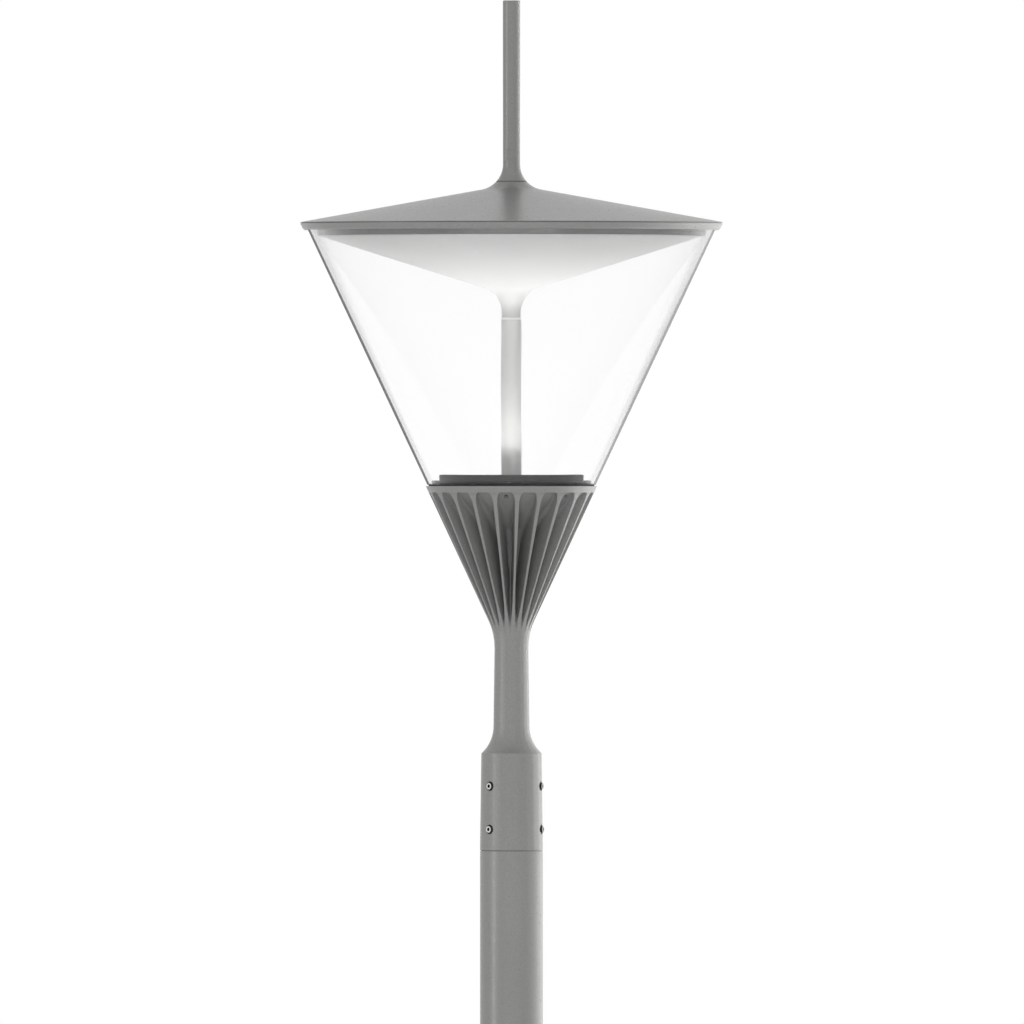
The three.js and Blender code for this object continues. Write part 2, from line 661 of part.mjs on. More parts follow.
// The trumpet between the ribs: straight low down, then an arc, then a straight slope.
function trumpet(inset) {
  const slope = Math.atan(CORE_SLOPE);
  const corner = POCKET_TOP - (CORE_TOP_RADIUS - CORE_RADIUS) / CORE_SLOPE;
  const arcBottom = corner - CORE_FLARE * Math.tan(slope / 2);
  const centre = CORE_RADIUS + CORE_FLARE;
  const flare = CORE_FLARE + inset;
  return arc(centre, arcBottom, flare, Math.PI, Math.PI - slope, 4);
}

function housingCore() {
  const slopeInset = CORE_WALL / Math.cos(Math.atan(CORE_SLOPE));
  const outer = [
    [COLLAR_BOTTOM_RADIUS, 0],
    [COLLAR_TOP_RADIUS, COLLAR_TOP],
    ...envelope(POCKET_BOTTOM),
    [CORE_RADIUS, POCKET_BOTTOM + CORE_STEP],
    ...trumpet(0),
    [CORE_TOP_RADIUS, POCKET_TOP],
    [HOUSING_TOP_RADIUS - CONE_SLOPE * (HOUSING_TOP - POCKET_TOP), POCKET_TOP],
    [HOUSING_TOP_RADIUS, HOUSING_TOP],
  ];
  const knee = POCKET_TOP - (CORE_TOP_RADIUS - slopeInset - HOUSING_MOUTH_RADIUS) / CORE_SLOPE;
  const inner = [
    [HOUSING_MOUTH_RADIUS, HOUSING_TOP],
    [HOUSING_MOUTH_RADIUS, knee],
    ...trumpet(CORE_WALL).reverse(),
    [NECK_BORE_RADIUS, WEB_TOP],
    [WEB_BORE_RADIUS, WEB_TOP],
    [WEB_BORE_RADIUS, WEB_BOTTOM],
    [SPIGOT_RADIUS + SPIGOT_CLEARANCE, WEB_BOTTOM],
    [SPIGOT_RADIUS + SPIGOT_CLEARANCE, 0],
  ];
  return turned([...outer, ...inner], RIBS).rotateZ(RIB_PHASE);
}

function rib(angle) {
  const foot = POCKET_BOTTOM - 6;
  const top = HOUSING_TOP - RIB_INSET;
  const outer = envelope(HOUSING_TOP).filter(([, height]) => height >= foot);
  outer[outer.length - 1] = [HOUSING_TOP_RADIUS - CONE_SLOPE * RIB_INSET, top];
  const inner = [...trumpet(CORE_WALL / 2).reverse(), [CORE_RADIUS - 2, foot]];
  return plate([...outer, [RIB_ROOT, top], ...inner], RIB_THICKNESS).rotateZ(angle - Math.PI / 2);
}

// The cast housing: collar, neck, trumpet core and the ribs that cool the LEDs.
function housing() {
  let made = solid(housingCore());
  for (let i = 0; i < RIBS; i++) made = made.add(solid(rib(RIB_PHASE + (2 * Math.PI * i) / RIBS)));
  for (const height of SCREW_HEIGHTS) {
    for (const angle of SCREW_ANGLES) {
      const hole = radialRod(SET_SCREW_HOLE, 20, 50, height, angle);
      made = made.subtract(solid(hole));
    }
  }
  for (const angle of LED_SCREW_ANGLES) made = made.subtract(solid(ledScrewHole(angle)));
  return fromSolid(made);
}

// The hole for a screw, countersunk at the top of the LED plate's flange.
function ledScrewHole(angle) {
  const [x, y] = onCircle(LED_SCREW_CIRCLE, angle);
  const [radius, height] = LED_SCREW_HEAD;
  const seat = LED_FLANGE_TOP - LED_SCREW_SUNK;
  const profile = [
    [0, LED_SCREW_HOLE_FOOT],
    [LED_SCREW_HOLE, LED_SCREW_HOLE_FOOT],
    [LED_SCREW_HOLE, seat - height],
    [radius + GAP, seat - GAP],
    [radius + GAP, LED_PLATE_TOP],
    [0, LED_PLATE_TOP],
  ];
  return turned(profile, 8).translate(x, y, 0);
}

function setScrew(height, angle) {
  const taper = (COLLAR_BOTTOM_RADIUS - COLLAR_TOP_RADIUS) / COLLAR_TOP;
  const end = COLLAR_BOTTOM_RADIUS - taper * height + SET_SCREW_PROUD;
  const body = radialRod(SET_SCREW_RADIUS, SPIGOT_RADIUS + 0.4, end, height, angle);
  return cut(body, radialRod(HEX_SOCKET_RADIUS, end - HEX_SOCKET_DEPTH, end + 2, height, angle, 6));
}

// The dark plate that closes the housing and carries the LED board in a recess.
function ledPlate() {
  const bottom = HOUSING_TOP + GAP;
  const bore = TIE_ROD_RADIUS + GAP;
  const profile = [
    [bore, bottom],
    [LED_FLANGE_RADIUS, bottom],
    [LED_FLANGE_RADIUS, LED_FLANGE_TOP],
    [LED_PLATE_RADIUS, LED_FLANGE_TOP],
    [LED_PLATE_RADIUS, LED_PLATE_TOP],
    [LED_PLATE_RADIUS - LED_RIM, LED_PLATE_TOP],
    [LED_PLATE_RADIUS - LED_RIM, LED_FLOOR],
    [bore, LED_FLOOR],
  ];
  return cut(turned(profile), ...LED_SCREW_ANGLES.map(ledScrewHole));
}

function ledScrew(angle) {
  const [x, y] = onCircle(LED_SCREW_CIRCLE, angle);
  const [radius, height] = LED_SCREW_HEAD;
  const top = LED_FLANGE_TOP - LED_SCREW_SUNK;
  const profile = [
    [0, LED_SCREW_END],
    [LED_SCREW_SHANK, LED_SCREW_END],
    [LED_SCREW_SHANK, top - height],
    [radius, top],
    [0, top],
  ];
  return turned(profile, 8).translate(x, y, 0);
}

// One clear plate with a shallow lens over each LED.
function lensPlate() {
  const [foot, shoulder, crown] = LENS_SPAN.map((height) => LENS_PLATE_BOTTOM + height);
  const profile = [[0, foot], [LENS_RADIUS, foot], [LENS_RADIUS, shoulder], [LENS_CROWN, crown], [0, crown]];
  const lenses = [];
  for (let i = 0; i < LENS_COUNT; i++) {
    const [x, y] = onCircle(LENS_CIRCLE, (360 * i) / LENS_COUNT);
    lenses.push(turned(profile, 8).translate(x, y, 0));
  }
  const top = LENS_PLATE_BOTTOM + LENS_PLATE_THICKNESS;
  return joined(ring(LED_BOARD_BORE, LED_BOARD_RADIUS, LENS_PLATE_BOTTOM, top, 24), ...lenses);
}

// The driver hangs under the LED plate on two posts.
function driver() {
  const post = rod(DRIVER_POST_RADIUS, DRIVER_TOP - 1, HOUSING_TOP, 8);
  const posts = [-DRIVER_POST_X, DRIVER_POST_X].map((x) => post.clone().translate(x, 0, 0));
  return joined(rod(DRIVER_RADIUS, DRIVER_BOTTOM, DRIVER_TOP, 24), ...posts);
}

function terminalBlock() {
  const [halfX, halfY] = TERMINALS_HALF_SIZE;
  return block([-halfX, -halfY, TERMINALS_BOTTOM], [halfX, halfY, DRIVER_BOTTOM - GAP]);
}

// The gland in the floor of the neck, with its nut below and its thread through the web.
function cableGland() {
  const nut = rod(GLAND_NUT_RADIUS, GLAND_BOTTOM, WEB_BOTTOM - GAP, 6);
  return joined(nut, rod(GLAND_THREAD_RADIUS, WEB_BOTTOM - 1, GLAND_TOP));
}

function headLead() {
  const bottom = GLAND_TOP + GAP;
  const top = TERMINALS_BOTTOM - GAP;
  return tubeAlong([[0, 0, bottom], [0, 0, (bottom + top) / 2], [0, 0, top]], LEAD_RADIUS, 2);
}

function tieRodNut() {
  const hole = rod(TIE_ROD_RADIUS + GAP, 0, LED_PLATE_TOP);
  return cut(rod(TIE_NUT_RADIUS, HOUSING_TOP - TIE_NUT_HEIGHT, HOUSING_TOP, 6), hole);
}

function glassCone() {
  const topRadius = GLASS_BOTTOM_RADIUS + GLASS_SLOPE * (GLASS_TOP - GLASS_BOTTOM);
  const profile = [
    [GLASS_BOTTOM_RADIUS - GLASS_WALL, GLASS_BOTTOM],
    [GLASS_BOTTOM_RADIUS, GLASS_BOTTOM],
    [topRadius, GLASS_TOP],
    [topRadius - GLASS_WALL, GLASS_TOP],
  ];
  return turned(profile);
}

// The reflector: a shallow cone that draws down into a spout over the centre tube.
function reflector() {
  const centre = REFLECTOR_SPOUT_RADIUS + FLARE_RADIUS;
  const start = Math.PI;
  const end = Math.PI / 2 + REFLECTOR_SLOPE;
  const lower = arc(centre, REFLECTOR_SPOUT_TOP, FLARE_RADIUS, start, end, 4);
  const upper = arc(centre, REFLECTOR_SPOUT_TOP, FLARE_RADIUS + REFLECTOR_WALL, end, start, 4);
  const foot = RING_TOP + GAP;
  const [lipWidth, lipBottom, lipTop] = REFLECTOR_LIP;
  const profile = [
    [REFLECTOR_SPOUT_RADIUS, foot],
    ...lower,
    [REFLECTOR_RIM_RADIUS, REFLECTOR_RIM],
    [REFLECTOR_RIM_RADIUS + lipWidth, REFLECTOR_RIM + lipBottom],
    [REFLECTOR_RIM_RADIUS + lipWidth, REFLECTOR_RIM + lipTop],
    [REFLECTOR_RIM_RADIUS - REFLECTOR_SEAT, REFLECTOR_RIM + lipTop],
    ...upper,
    [REFLECTOR_SPOUT_RADIUS - REFLECTOR_WALL, foot],
  ];
  return turned(profile);
}

// The channel-shaped ring under the canopy's edge: its outer lip hides the cone's top edge, and
// its deeper inner leg carries the reflector.
function canopyRing() {
  const [lipInner, lipFoot, lipOuter, lipShoulder, lipTop] = RING_LIP;
  const [legInner, legOuter] = RING_LEG;
  const profile = [
    [lipFoot, RING_BOTTOM],
    [lipOuter, RING_BOTTOM],
    [lipShoulder, RING_BOTTOM + RING_LIP_CHAMFER],
    [lipTop, RING_FACE],
    [legInner, RING_FACE],
    [legInner, RING_LEG_BOTTOM],
    [legOuter, RING_LEG_BOTTOM],
    [legOuter, RING_WEB],
    [lipInner, RING_WEB],
    [lipInner, RING_BOTTOM + RING_LIP_LEDGE],
  ];
  return turned(profile);
}

function canopyCover() {
  const centre = FINIAL_RADIUS + FLARE_RADIUS;
  const slopeEnd = 1.5 * Math.PI - CANOPY_SLOPE;
  const crownOuter = Math.PI + Math.asin((FINIAL_FLARE_TOP - SEAM) / FLARE_RADIUS);
  const under = FLARE_RADIUS + CANOPY_WALL;
  const underTop = SEAM - CANOPY_WALL + 0.1;
  const crownInner = Math.PI + Math.asin((FINIAL_FLARE_TOP - underTop) / under);
  const hemRise = CANOPY_HEM_WIDTH * Math.tan(CANOPY_SLOPE) - CANOPY_WALL / Math.cos(CANOPY_SLOPE);
  const profile = [
    [CANOPY_RADIUS, CANOPY_EDGE - CANOPY_HEM],
    [CANOPY_RADIUS, CANOPY_EDGE],
    ...arc(centre, FINIAL_FLARE_TOP, FLARE_RADIUS, slopeEnd, crownOuter, 3),
    [TIE_ROD_RADIUS + 1, SEAM],
    [TIE_ROD_RADIUS + 1, underTop],
    ...arc(centre, FINIAL_FLARE_TOP, under, crownInner, slopeEnd, 3),
    [CANOPY_RADIUS - CANOPY_HEM_WIDTH, CANOPY_EDGE + hemRise],
  ];
  return turned(profile);
}

// The finial: a flared foot that follows the canopy's crown, two spanner flats and a plain rod.
function finial() {
  const centre = FINIAL_RADIUS + FLARE_RADIUS;
  const start = Math.PI + Math.asin((FINIAL_FLARE_TOP - FINIAL_FOOT) / FLARE_RADIUS);
  const [bore, boreTop] = FINIAL_BORE;
  const profile = [
    [0, boreTop],
    [bore, boreTop],
    [bore, FINIAL_FOOT],
    ...arc(centre, FINIAL_FLARE_TOP, FLARE_RADIUS, start, Math.PI, 4),
    [FINIAL_RADIUS, FINIAL_TOP - FINIAL_CHAMFER],
    [FINIAL_RADIUS - FINIAL_CHAMFER, FINIAL_TOP],
    [0, FINIAL_TOP],
  ];
  const flats = [-1, 1].map((side) => {
    const near = FLATS_ACROSS / 2;
    const low = [-20, side < 0 ? -near - 20 : near, FLATS_BOTTOM];
    const high = [20, side < 0 ? -near : near + 20, FLATS_BOTTOM + FLATS_HEIGHT];
    return block(low, high).rotateZ(THREE.MathUtils.degToRad(FLATS_ANGLE));
  });
  return cut(turned(profile, ROD_ROUND), ...flats);
}

// The rings and gaskets of the head.
function headRings() {
  const spacerTop = SEAM - CANOPY_WALL - GAP;
  const [gasketRadius, gasketThickness] = FINIAL_GASKET;
  const seat = SEAM + GAP;
  const headSeat = GLASS_TOP + GAP;
  const led = ring(LED_BOARD_BORE, LED_BOARD_RADIUS, LED_FLOOR + GAP, LED_BOARD_TOP, 24);
  const spacer = ring(ROD_HOLE_RADIUS, SPACER_RADIUS, RING_TOP + GAP, spacerTop, SMALL_ROUND);
  const finialGasket = ring(TIE_ROD_RADIUS + 1, gasketRadius, seat, seat + gasketThickness, ROD_ROUND);
  return [
    piece("led_board", led, board),
    piece("centre_tube", ring(TUBE_BORE, TUBE_RADIUS, LED_FLOOR + GAP, TUBE_TOP, ROD_ROUND), tubePaint),
    piece("tube_ring", ring(ROD_HOLE_RADIUS, TUBE_RADIUS, TUBE_TOP + GAP, RING_TOP, ROD_ROUND), whitePaint),
    piece("canopy_spacer", spacer, zinc),
    piece("glass_foot_gasket", ring(...FOOT_GASKET, HOUSING_TOP + GAP, GLASS_BOTTOM - GAP), rubber),
    piece("glass_head_gasket", ring(...HEAD_GASKET, headSeat, headSeat + HEAD_GASKET_THICKNESS), rubber),
    piece("finial_gasket", finialGasket, rubber),
  ];
}

function buildHead() {
  const head = new THREE.Group();
  head.position.z = COLUMN_HEIGHT;
  head.add(
    piece("housing", housing(), paint),
    piece("led_plate", ledPlate(), darkPaint),
    piece("led_lens_plate", lensPlate(), clear),
    piece("led_driver", driver(), plastic),
    piece("terminal_block", terminalBlock(), blackPlastic),
    piece("cable_gland", cableGland(), blackPlastic),
    piece("head_lead", headLead(), blackPlastic),
    piece("tie_rod", rod(TIE_ROD_RADIUS, ...TIE_ROD_SPAN), zinc),
    piece("tie_rod_nut", tieRodNut(), zinc),
    piece("reflector", reflector(), whitePaint),
    piece("glass_cone", glassCone(), clear),
    piece("canopy_ring", canopyRing(), paint),
    piece("canopy_cover", canopyCover(), paint),
    piece("finial", finial(), paint),
    ...headRings(),
  );
  SCREW_HEIGHTS.forEach((height, row) => {
    SCREW_ANGLES.forEach((angle, i) => {
      head.add(piece(`set_screw_${row * SCREW_ANGLES.length + i + 1}`, setScrew(height, angle), steel));
    });
  });
  LED_SCREW_ANGLES.forEach((angle, i) => {
    head.add(piece(`led_plate_screw_${i + 1}`, ledScrew(angle), darkPaint));
  });
  return head;
}

const lampPost = new THREE.Group();
lampPost.add(buildColumn(), buildHead());

export default lampPost;
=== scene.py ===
"""The looks of a street lamp post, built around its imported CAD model.

The head's outlines are in millimetres above the seam between column and head, the column's in
millimetres above the ground. Angles about the column run from the front (-Y) towards +X.
"""

import math

import bmesh
import bpy
from mathutils import Matrix, Vector


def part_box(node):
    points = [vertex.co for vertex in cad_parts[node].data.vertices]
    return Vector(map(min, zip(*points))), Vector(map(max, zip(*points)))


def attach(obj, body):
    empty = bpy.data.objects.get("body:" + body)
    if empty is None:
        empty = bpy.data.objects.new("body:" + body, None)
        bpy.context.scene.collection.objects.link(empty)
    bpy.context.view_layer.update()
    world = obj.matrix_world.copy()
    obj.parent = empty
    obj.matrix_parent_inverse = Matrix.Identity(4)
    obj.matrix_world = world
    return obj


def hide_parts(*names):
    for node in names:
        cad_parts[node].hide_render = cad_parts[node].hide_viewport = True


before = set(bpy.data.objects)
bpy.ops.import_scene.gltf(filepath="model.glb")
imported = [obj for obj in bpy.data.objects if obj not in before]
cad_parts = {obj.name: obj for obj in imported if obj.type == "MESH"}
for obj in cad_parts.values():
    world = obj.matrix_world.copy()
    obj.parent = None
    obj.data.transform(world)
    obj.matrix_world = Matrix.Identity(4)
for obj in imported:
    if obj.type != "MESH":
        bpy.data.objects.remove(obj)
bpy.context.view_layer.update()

MM = 0.001
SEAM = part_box("housing")[0].z
SIDES = 128

def add_object(name, data):
    made = bpy.data.objects.new(name, data)
    bpy.context.scene.collection.objects.link(made)
    return made


# ------ camera

PICTURE_WIDTH = 1.24959  # metres across the picture at the column's axis
PICTURE_CENTRE = SEAM + 0.4131
CAMERA_OFFSET = 0.0006
FOCAL_LENGTH = 1500.0
SENSOR = 36.0


def make_camera():
    data = bpy.data.cameras.new("camera")
    data.lens = FOCAL_LENGTH
    data.sensor_width = SENSOR
    data.clip_start = 0.1
    data.clip_end = 500.0
    camera = add_object("camera", data)
    camera.location = (CAMERA_OFFSET, -PICTURE_WIDTH * FOCAL_LENGTH / SENSOR, PICTURE_CENTRE)
    camera.rotation_euler = (math.pi / 2, 0, 0)
    bpy.context.scene.camera = camera


# ------ materials


def shader(name):
    """A new material, its node tree and its Principled shader."""
    material = bpy.data.materials.new(name)
    material.use_nodes = True
    tree = material.node_tree
    return material, tree, tree.nodes["Principled BSDF"]


def preset(node, values):
    """Sets the node's sockets to fixed values."""
    for name, value in values.items():
        node.inputs[name].default_value = value


def coordinates(tree):
    return tree.nodes.new("ShaderNodeTexCoord").outputs["Object"]


def noise(tree, scale, detail=2.0, roughness=0.5):
    node = tree.nodes.new("ShaderNodeTexNoise")
    preset(node, {"Scale": scale, "Detail": detail, "Roughness": roughness})
    tree.links.new(coordinates(tree), node.inputs["Vector"])
    return node.outputs["Fac"]


def cells(tree, scale):
    """A random grey for each cell of a Voronoi pattern."""
    node = tree.nodes.new("ShaderNodeTexVoronoi")
    preset(node, {"Scale": scale})
    tree.links.new(coordinates(tree), node.inputs["Vector"])
    grey = tree.nodes.new("ShaderNodeSeparateColor")
    tree.links.new(node.outputs["Color"], grey.inputs["Color"])
    return grey.outputs["Red"]


def spread(tree, value, low, high, to_low, to_high):
    """Maps value from low..high to to_low..to_high, clamped."""
    node = tree.nodes.new("ShaderNodeMapRange")
    preset(node, {"From Min": low, "From Max": high, "To Min": to_low, "To Max": to_high})
    tree.links.new(value, node.inputs["Value"])
    return node.outputs["Result"]


def mix(tree, factor, a, b, blend="MIX"):
    """Mixes two colours, each an output socket or a tuple."""
    node = tree.nodes.new("ShaderNodeMix")
    node.data_type = "RGBA"
    node.blend_type = blend
    for socket, value in ((node.inputs[0], factor), (node.inputs[6], a), (node.inputs[7], b)):
        if isinstance(value, bpy.types.NodeSocket):
            tree.links.new(value, socket)
        elif isinstance(value, tuple):
            socket.default_value = (*value, 1)
        else:
            socket.default_value = value
    return node.outputs[2]


def bump(tree, principled, layers):
    """Chains bump nodes onto the shader. Each layer is (height, strength, distance in metres)."""
    normal = None
    for height, strength, distance in layers:
        node = tree.nodes.new("ShaderNodeBump")
        preset(node, {"Strength": strength, "Distance": distance})
        tree.links.new(height, node.inputs["Height"])
        if normal:
            tree.links.new(normal, node.inputs["Normal"])
        normal = node.outputs["Normal"]
    tree.links.new(normal, principled.inputs["Normal"])


def shades(colour, amount):
    """The colour made darker and lighter by the given share."""
    return tuple(c * (1 - amount) for c in colour), tuple(min(1, c * (1 + amount)) for c in colour)


def powder_coat(name, colour, grain=0.10, roughness=0.32, dust=0.0, shade_attribute=None, gloss=0.5):
    """Textured powder coat: fine grain in colour and relief, faint clouding, dust near the ground.

    The shade attribute, if given, names the vertex attribute that says where painted shade darkens the
    coat.
    """
    material, tree, principled = shader(name)
    dark, light = shades(colour, grain)
    fine = noise(tree, 620, 3, 0.7)
    colour_out = mix(tree, spread(tree, fine, 0.3, 0.7, 0, 1), dark, light)
    cloud = spread(tree, noise(tree, 5, 3), 0.3, 0.7, 0.96, 1.04)
    colour_out = mix(tree, 1.0, colour_out, grey_value(tree, cloud), "MULTIPLY")
    if dust:
        low = spread(tree, height_above_ground(tree), 0.0, 0.45, dust, 0)
        patches = spread(tree, noise(tree, 34, 5, 0.65), 0.35, 0.7, 0.15, 1)
        amount = combined(tree, "MULTIPLY", low, patches)
        colour_out = mix(tree, amount, colour_out, (0.27, 0.245, 0.21))
    # painted shade: the coat's colour is multiplied down where the named attribute is high
    if shade_attribute:
        shade_mark = tree.nodes.new("ShaderNodeAttribute")
        shade_mark.attribute_name = shade_attribute
        shade = spread(tree, shade_mark.outputs["Fac"], 0, 1, 1, PAINTED_SHADE)
        colour_out = mix(tree, 1.0, colour_out, grey_value(tree, shade), "MULTIPLY")
    tree.links.new(colour_out, principled.inputs["Base Color"])
    tree.links.new(
        spread(tree, noise(tree, 240, 2), 0.3, 0.7, roughness - 0.05, roughness + 0.06),
        principled.inputs["Roughness"],
    )
    preset(principled, {"Specular IOR Level": gloss})
    bump(tree, principled, [(noise(tree, 750, 2), 0.25, 0.0003), (noise(tree, 60, 2), 0.05, 0.001)])
    return material


def grey_value(tree, value):
    """Turns a number socket into a grey colour socket."""
    node = tree.nodes.new("ShaderNodeCombineColor")
    for channel in ("Red", "Green", "Blue"):
        tree.links.new(value, node.inputs[channel])
    return node.outputs["Color"]


def combined(tree, operation, a, b):
    node = tree.nodes.new("ShaderNodeMath")
    node.operation = operation
    tree.links.new(a, node.inputs[0])
    tree.links.new(b, node.inputs[1])
    return node.outputs["Value"]


def height_above_ground(tree):
    """The height above the ground as a number socket; the meshes are drawn in place."""
    place = tree.nodes.new("ShaderNodeSeparateXYZ")
    tree.links.new(coordinates(tree), place.inputs["Vector"])
    return place.outputs["Z"]


def metal(name, colour, roughness, spangle=0.0):
    """Bare or zinc-plated metal: spangle cells, fine scratches and uneven roughness."""
    material, tree, principled = shader(name)
    dark, light = shades(colour, 0.08 + spangle)
    pattern = cells(tree, 180) if spangle else noise(tree, 150, 4, 0.6)
    tree.links.new(mix(tree, pattern, dark, light), principled.inputs["Base Color"])
    tree.links.new(
        spread(tree, noise(tree, 90, 4, 0.6), 0.3, 0.7, roughness - 0.08, roughness + 0.1),
        principled.inputs["Roughness"],
    )
    preset(principled, {"Metallic": 1.0})
    bump(tree, principled, [(noise(tree, 900, 3, 0.6), 0.15, 0.0002)])
    return material


def moulded(name, colour, roughness, texture=400, clearcoat=0.0, specular=0.5):
    """Moulded plastic or rubber: spark-eroded texture and slight colour clouding."""
    material, tree, principled = shader(name)
    dark, light = shades(colour, 0.06)
    tree.links.new(mix(tree, noise(tree, 25, 3), dark, light), principled.inputs["Base Color"])
    tree.links.new(
        spread(tree, noise(tree, 120, 3), 0.3, 0.7, roughness - 0.05, roughness + 0.08),
        principled.inputs["Roughness"],
    )
    preset(principled, {"Coat Weight": clearcoat, "Specular IOR Level": specular})
    bump(tree, principled, [(noise(tree, texture, 3, 0.6), 0.2, 0.0003)])
    return material


def clear_material(name, tint, density, roughness, skin=False):
    """Clear solid plastic or glass whose body absorbs a little of the light that passes through.

    With a skin, surfaces seen along their own plane turn a painted dark grey, a painted shade that stands
    in for the dark that glass shows edge-on.
    """
    material, tree, principled = shader(name)
    preset(principled, {"Base Color": (*tint, 1), "Transmission Weight": 1.0, "IOR": CLEAR_IOR})
    smudges = spread(tree, noise(tree, 14, 4), 0.62, 0.85, roughness, roughness + 0.012)
    tree.links.new(smudges, principled.inputs["Roughness"])
    absorption = tree.nodes.new("ShaderNodeVolumeAbsorption")
    preset(absorption, {"Color": (*CLEAR_BODY, 1), "Density": density})
    output = tree.nodes["Material Output"]
    tree.links.new(absorption.outputs["Volume"], output.inputs["Volume"])
    # Painted dark outline: a grey diffuse shows where the surface is seen edge-on, a painted shade standing
    # in for the dark that edge-on glass shows.
    if skin:
        grey = tree.nodes.new("ShaderNodeBsdfDiffuse")
        preset(grey, {"Color": (*OUTLINE_SHADE_GREY, 1)})
        blend = tree.nodes.new("ShaderNodeMixShader")
        tree.links.new(painted_outline_share(tree), blend.inputs["Fac"])
        tree.links.new(principled.outputs["BSDF"], blend.inputs[1])
        tree.links.new(grey.outputs["BSDF"], blend.inputs[2])
        tree.links.new(blend.outputs["Shader"], output.inputs["Surface"])
    return material


def painted_outline_share(tree):
    """How much of the painted dark outline shows: a soft fade, a firm line at the edge, less on inner
    walls.
    """
    facing = tree.nodes.new("ShaderNodeLayerWeight")
    preset(facing, {"Blend": 0.5})
    fade = spread(tree, facing.outputs["Facing"], *EDGE_FADE)
    widening = spread(tree, height_above_ground(tree), *EDGE_HEIGHTS, EDGE_WIDENING, 0)
    line = spread(tree, combined(tree, "ADD", facing.outputs["Facing"], widening), *EDGE_LINE)
    wall = tree.nodes.new("ShaderNodeAttribute")
    wall.attribute_name = OUTER_WALL
    by_wall = spread(tree, wall.outputs["Fac"], 0, 1, INNER_SHARE, 1)
    return combined(tree, "MULTIPLY", combined(tree, "MAXIMUM", fade, line), by_wall)


CLEAR_IOR = 1.36
CLEAR_BODY = (0.80, 0.81, 0.80)
# The glass's painted dark outline: its grey, where it fades in, its firm line, its widening at the foot and
# its share on inner walls.
OUTLINE_SHADE_GREY = (0.15, 0.15, 0.15)
EDGE_FADE = (0.66, 0.84, 0, 0.28)  # from square-on (0) to edge-on (1), and the painted outline's share there
EDGE_LINE = (0.84, 0.875, 0, 0.9)
EDGE_WIDENING = 0.078  # keeps the line as wide at the cone's narrow foot as at its top
EDGE_HEIGHTS = (SEAM + 0.447, SEAM + 0.757)  # of the cone's foot and top
INNER_SHARE = 0.12
# Painted shade: the next two vertex attributes mark where it falls, and the share below is how much of the
# coat's colour it leaves.
POCKET_FLOOR = "pocket_floor"  # a vertex attribute of the housing
SPOUT = "spout"  # a vertex attribute of the reflector
PAINTED_SHADE = 0.70  # of the coat's colour, on the pockets' floors and at the spout's end
OUTER_WALL = "outer_wall"  # a face attribute: 1 on the faces that look away from the axis
GREY = (0.205, 0.205, 0.2005)
PAINT = powder_coat("powder_coat_grey", GREY)
COLUMN_PAINT = powder_coat("powder_coat_grey_column", GREY, dust=0.45)
# The casting's coat carries painted shade on the pockets' floors.
CAST_PAINT = powder_coat("powder_coat_on_casting", GREY, 0.13, 0.36, shade_attribute=POCKET_FLOOR)
ANTHRACITE = (0.075, 0.075, 0.074)
DARK_PAINT = powder_coat("powder_coat_anthracite", ANTHRACITE, grain=0.3, roughness=0.6, gloss=0.12)
# The reflector's coat carries painted shade at the spout's lower end, where its upright wall gets less
# light.
WHITE_PAINT = powder_coat("reflector_white", (0.83, 0.83, 0.82), 0.02, 0.45, shade_attribute=SPOUT)
TUBE_PAINT = powder_coat("tube_light_grey", (0.62, 0.62, 0.612), grain=0.04, roughness=0.35)
RING_WHITE = powder_coat("joint_ring_white", (0.93, 0.93, 0.92), grain=0.02, roughness=0.45)
ZINC = metal("zinc_plated_steel", (0.46, 0.46, 0.455), 0.38, spangle=0.10)
STAINLESS = metal("stainless_steel", (0.58, 0.575, 0.565), 0.24)
BRASS = metal("brass", (0.50, 0.33, 0.12), 0.32)
RUBBER = moulded("black_rubber", (0.035, 0.035, 0.035), 0.8, 600, specular=0.15)
SEAL_GREY = moulded("grey_rubber", (0.12, 0.12, 0.118), 0.8, 600)
# Black oxide on the LED carrier's screws; on the set screws the same dark stands as painted shade in the
# socket and the gap round the screw.
BLACK_OXIDE_AND_SOCKET_SHADE = metal("black_oxide_and_socket_shade", (0.05, 0.05, 0.05), 0.5)
LIGHT_PLASTIC = moulded("light_grey_plastic", (0.62, 0.62, 0.585), 0.5, 350)
BLACK_PLASTIC = moulded("black_plastic", (0.02, 0.02, 0.021), 0.5, 350)
CABLE_JACKET = moulded("cable_jacket", (0.018, 0.018, 0.019), 0.42, 900)
BOARD_WHITE = moulded("solder_mask_white", (0.80, 0.80, 0.775), 0.35, 700, 0.3)
PHOSPHOR = moulded("led_phosphor", (0.78, 0.62, 0.16), 0.5, 1500)
# The cone's glass carries a painted dark outline where it is seen edge-on.
CLEAR = clear_material("clear_cone", (1, 1, 1), 1.0, 0.0, skin=True)
LENS_PLASTIC = clear_material("clear_lens", (1, 1, 1), 4.0, 0.02)

# ------ mesh helpers


def arc(centre, radius, start, end, steps=12):
    """Points on an arc, with angles in degrees from the radius axis."""
    points = []
    for i in range(steps + 1):
        angle = math.radians(start + (end - start) * i / steps)
        points.append((centre[0] + radius * math.cos(angle), centre[1] + radius * math.sin(angle)))
    return points


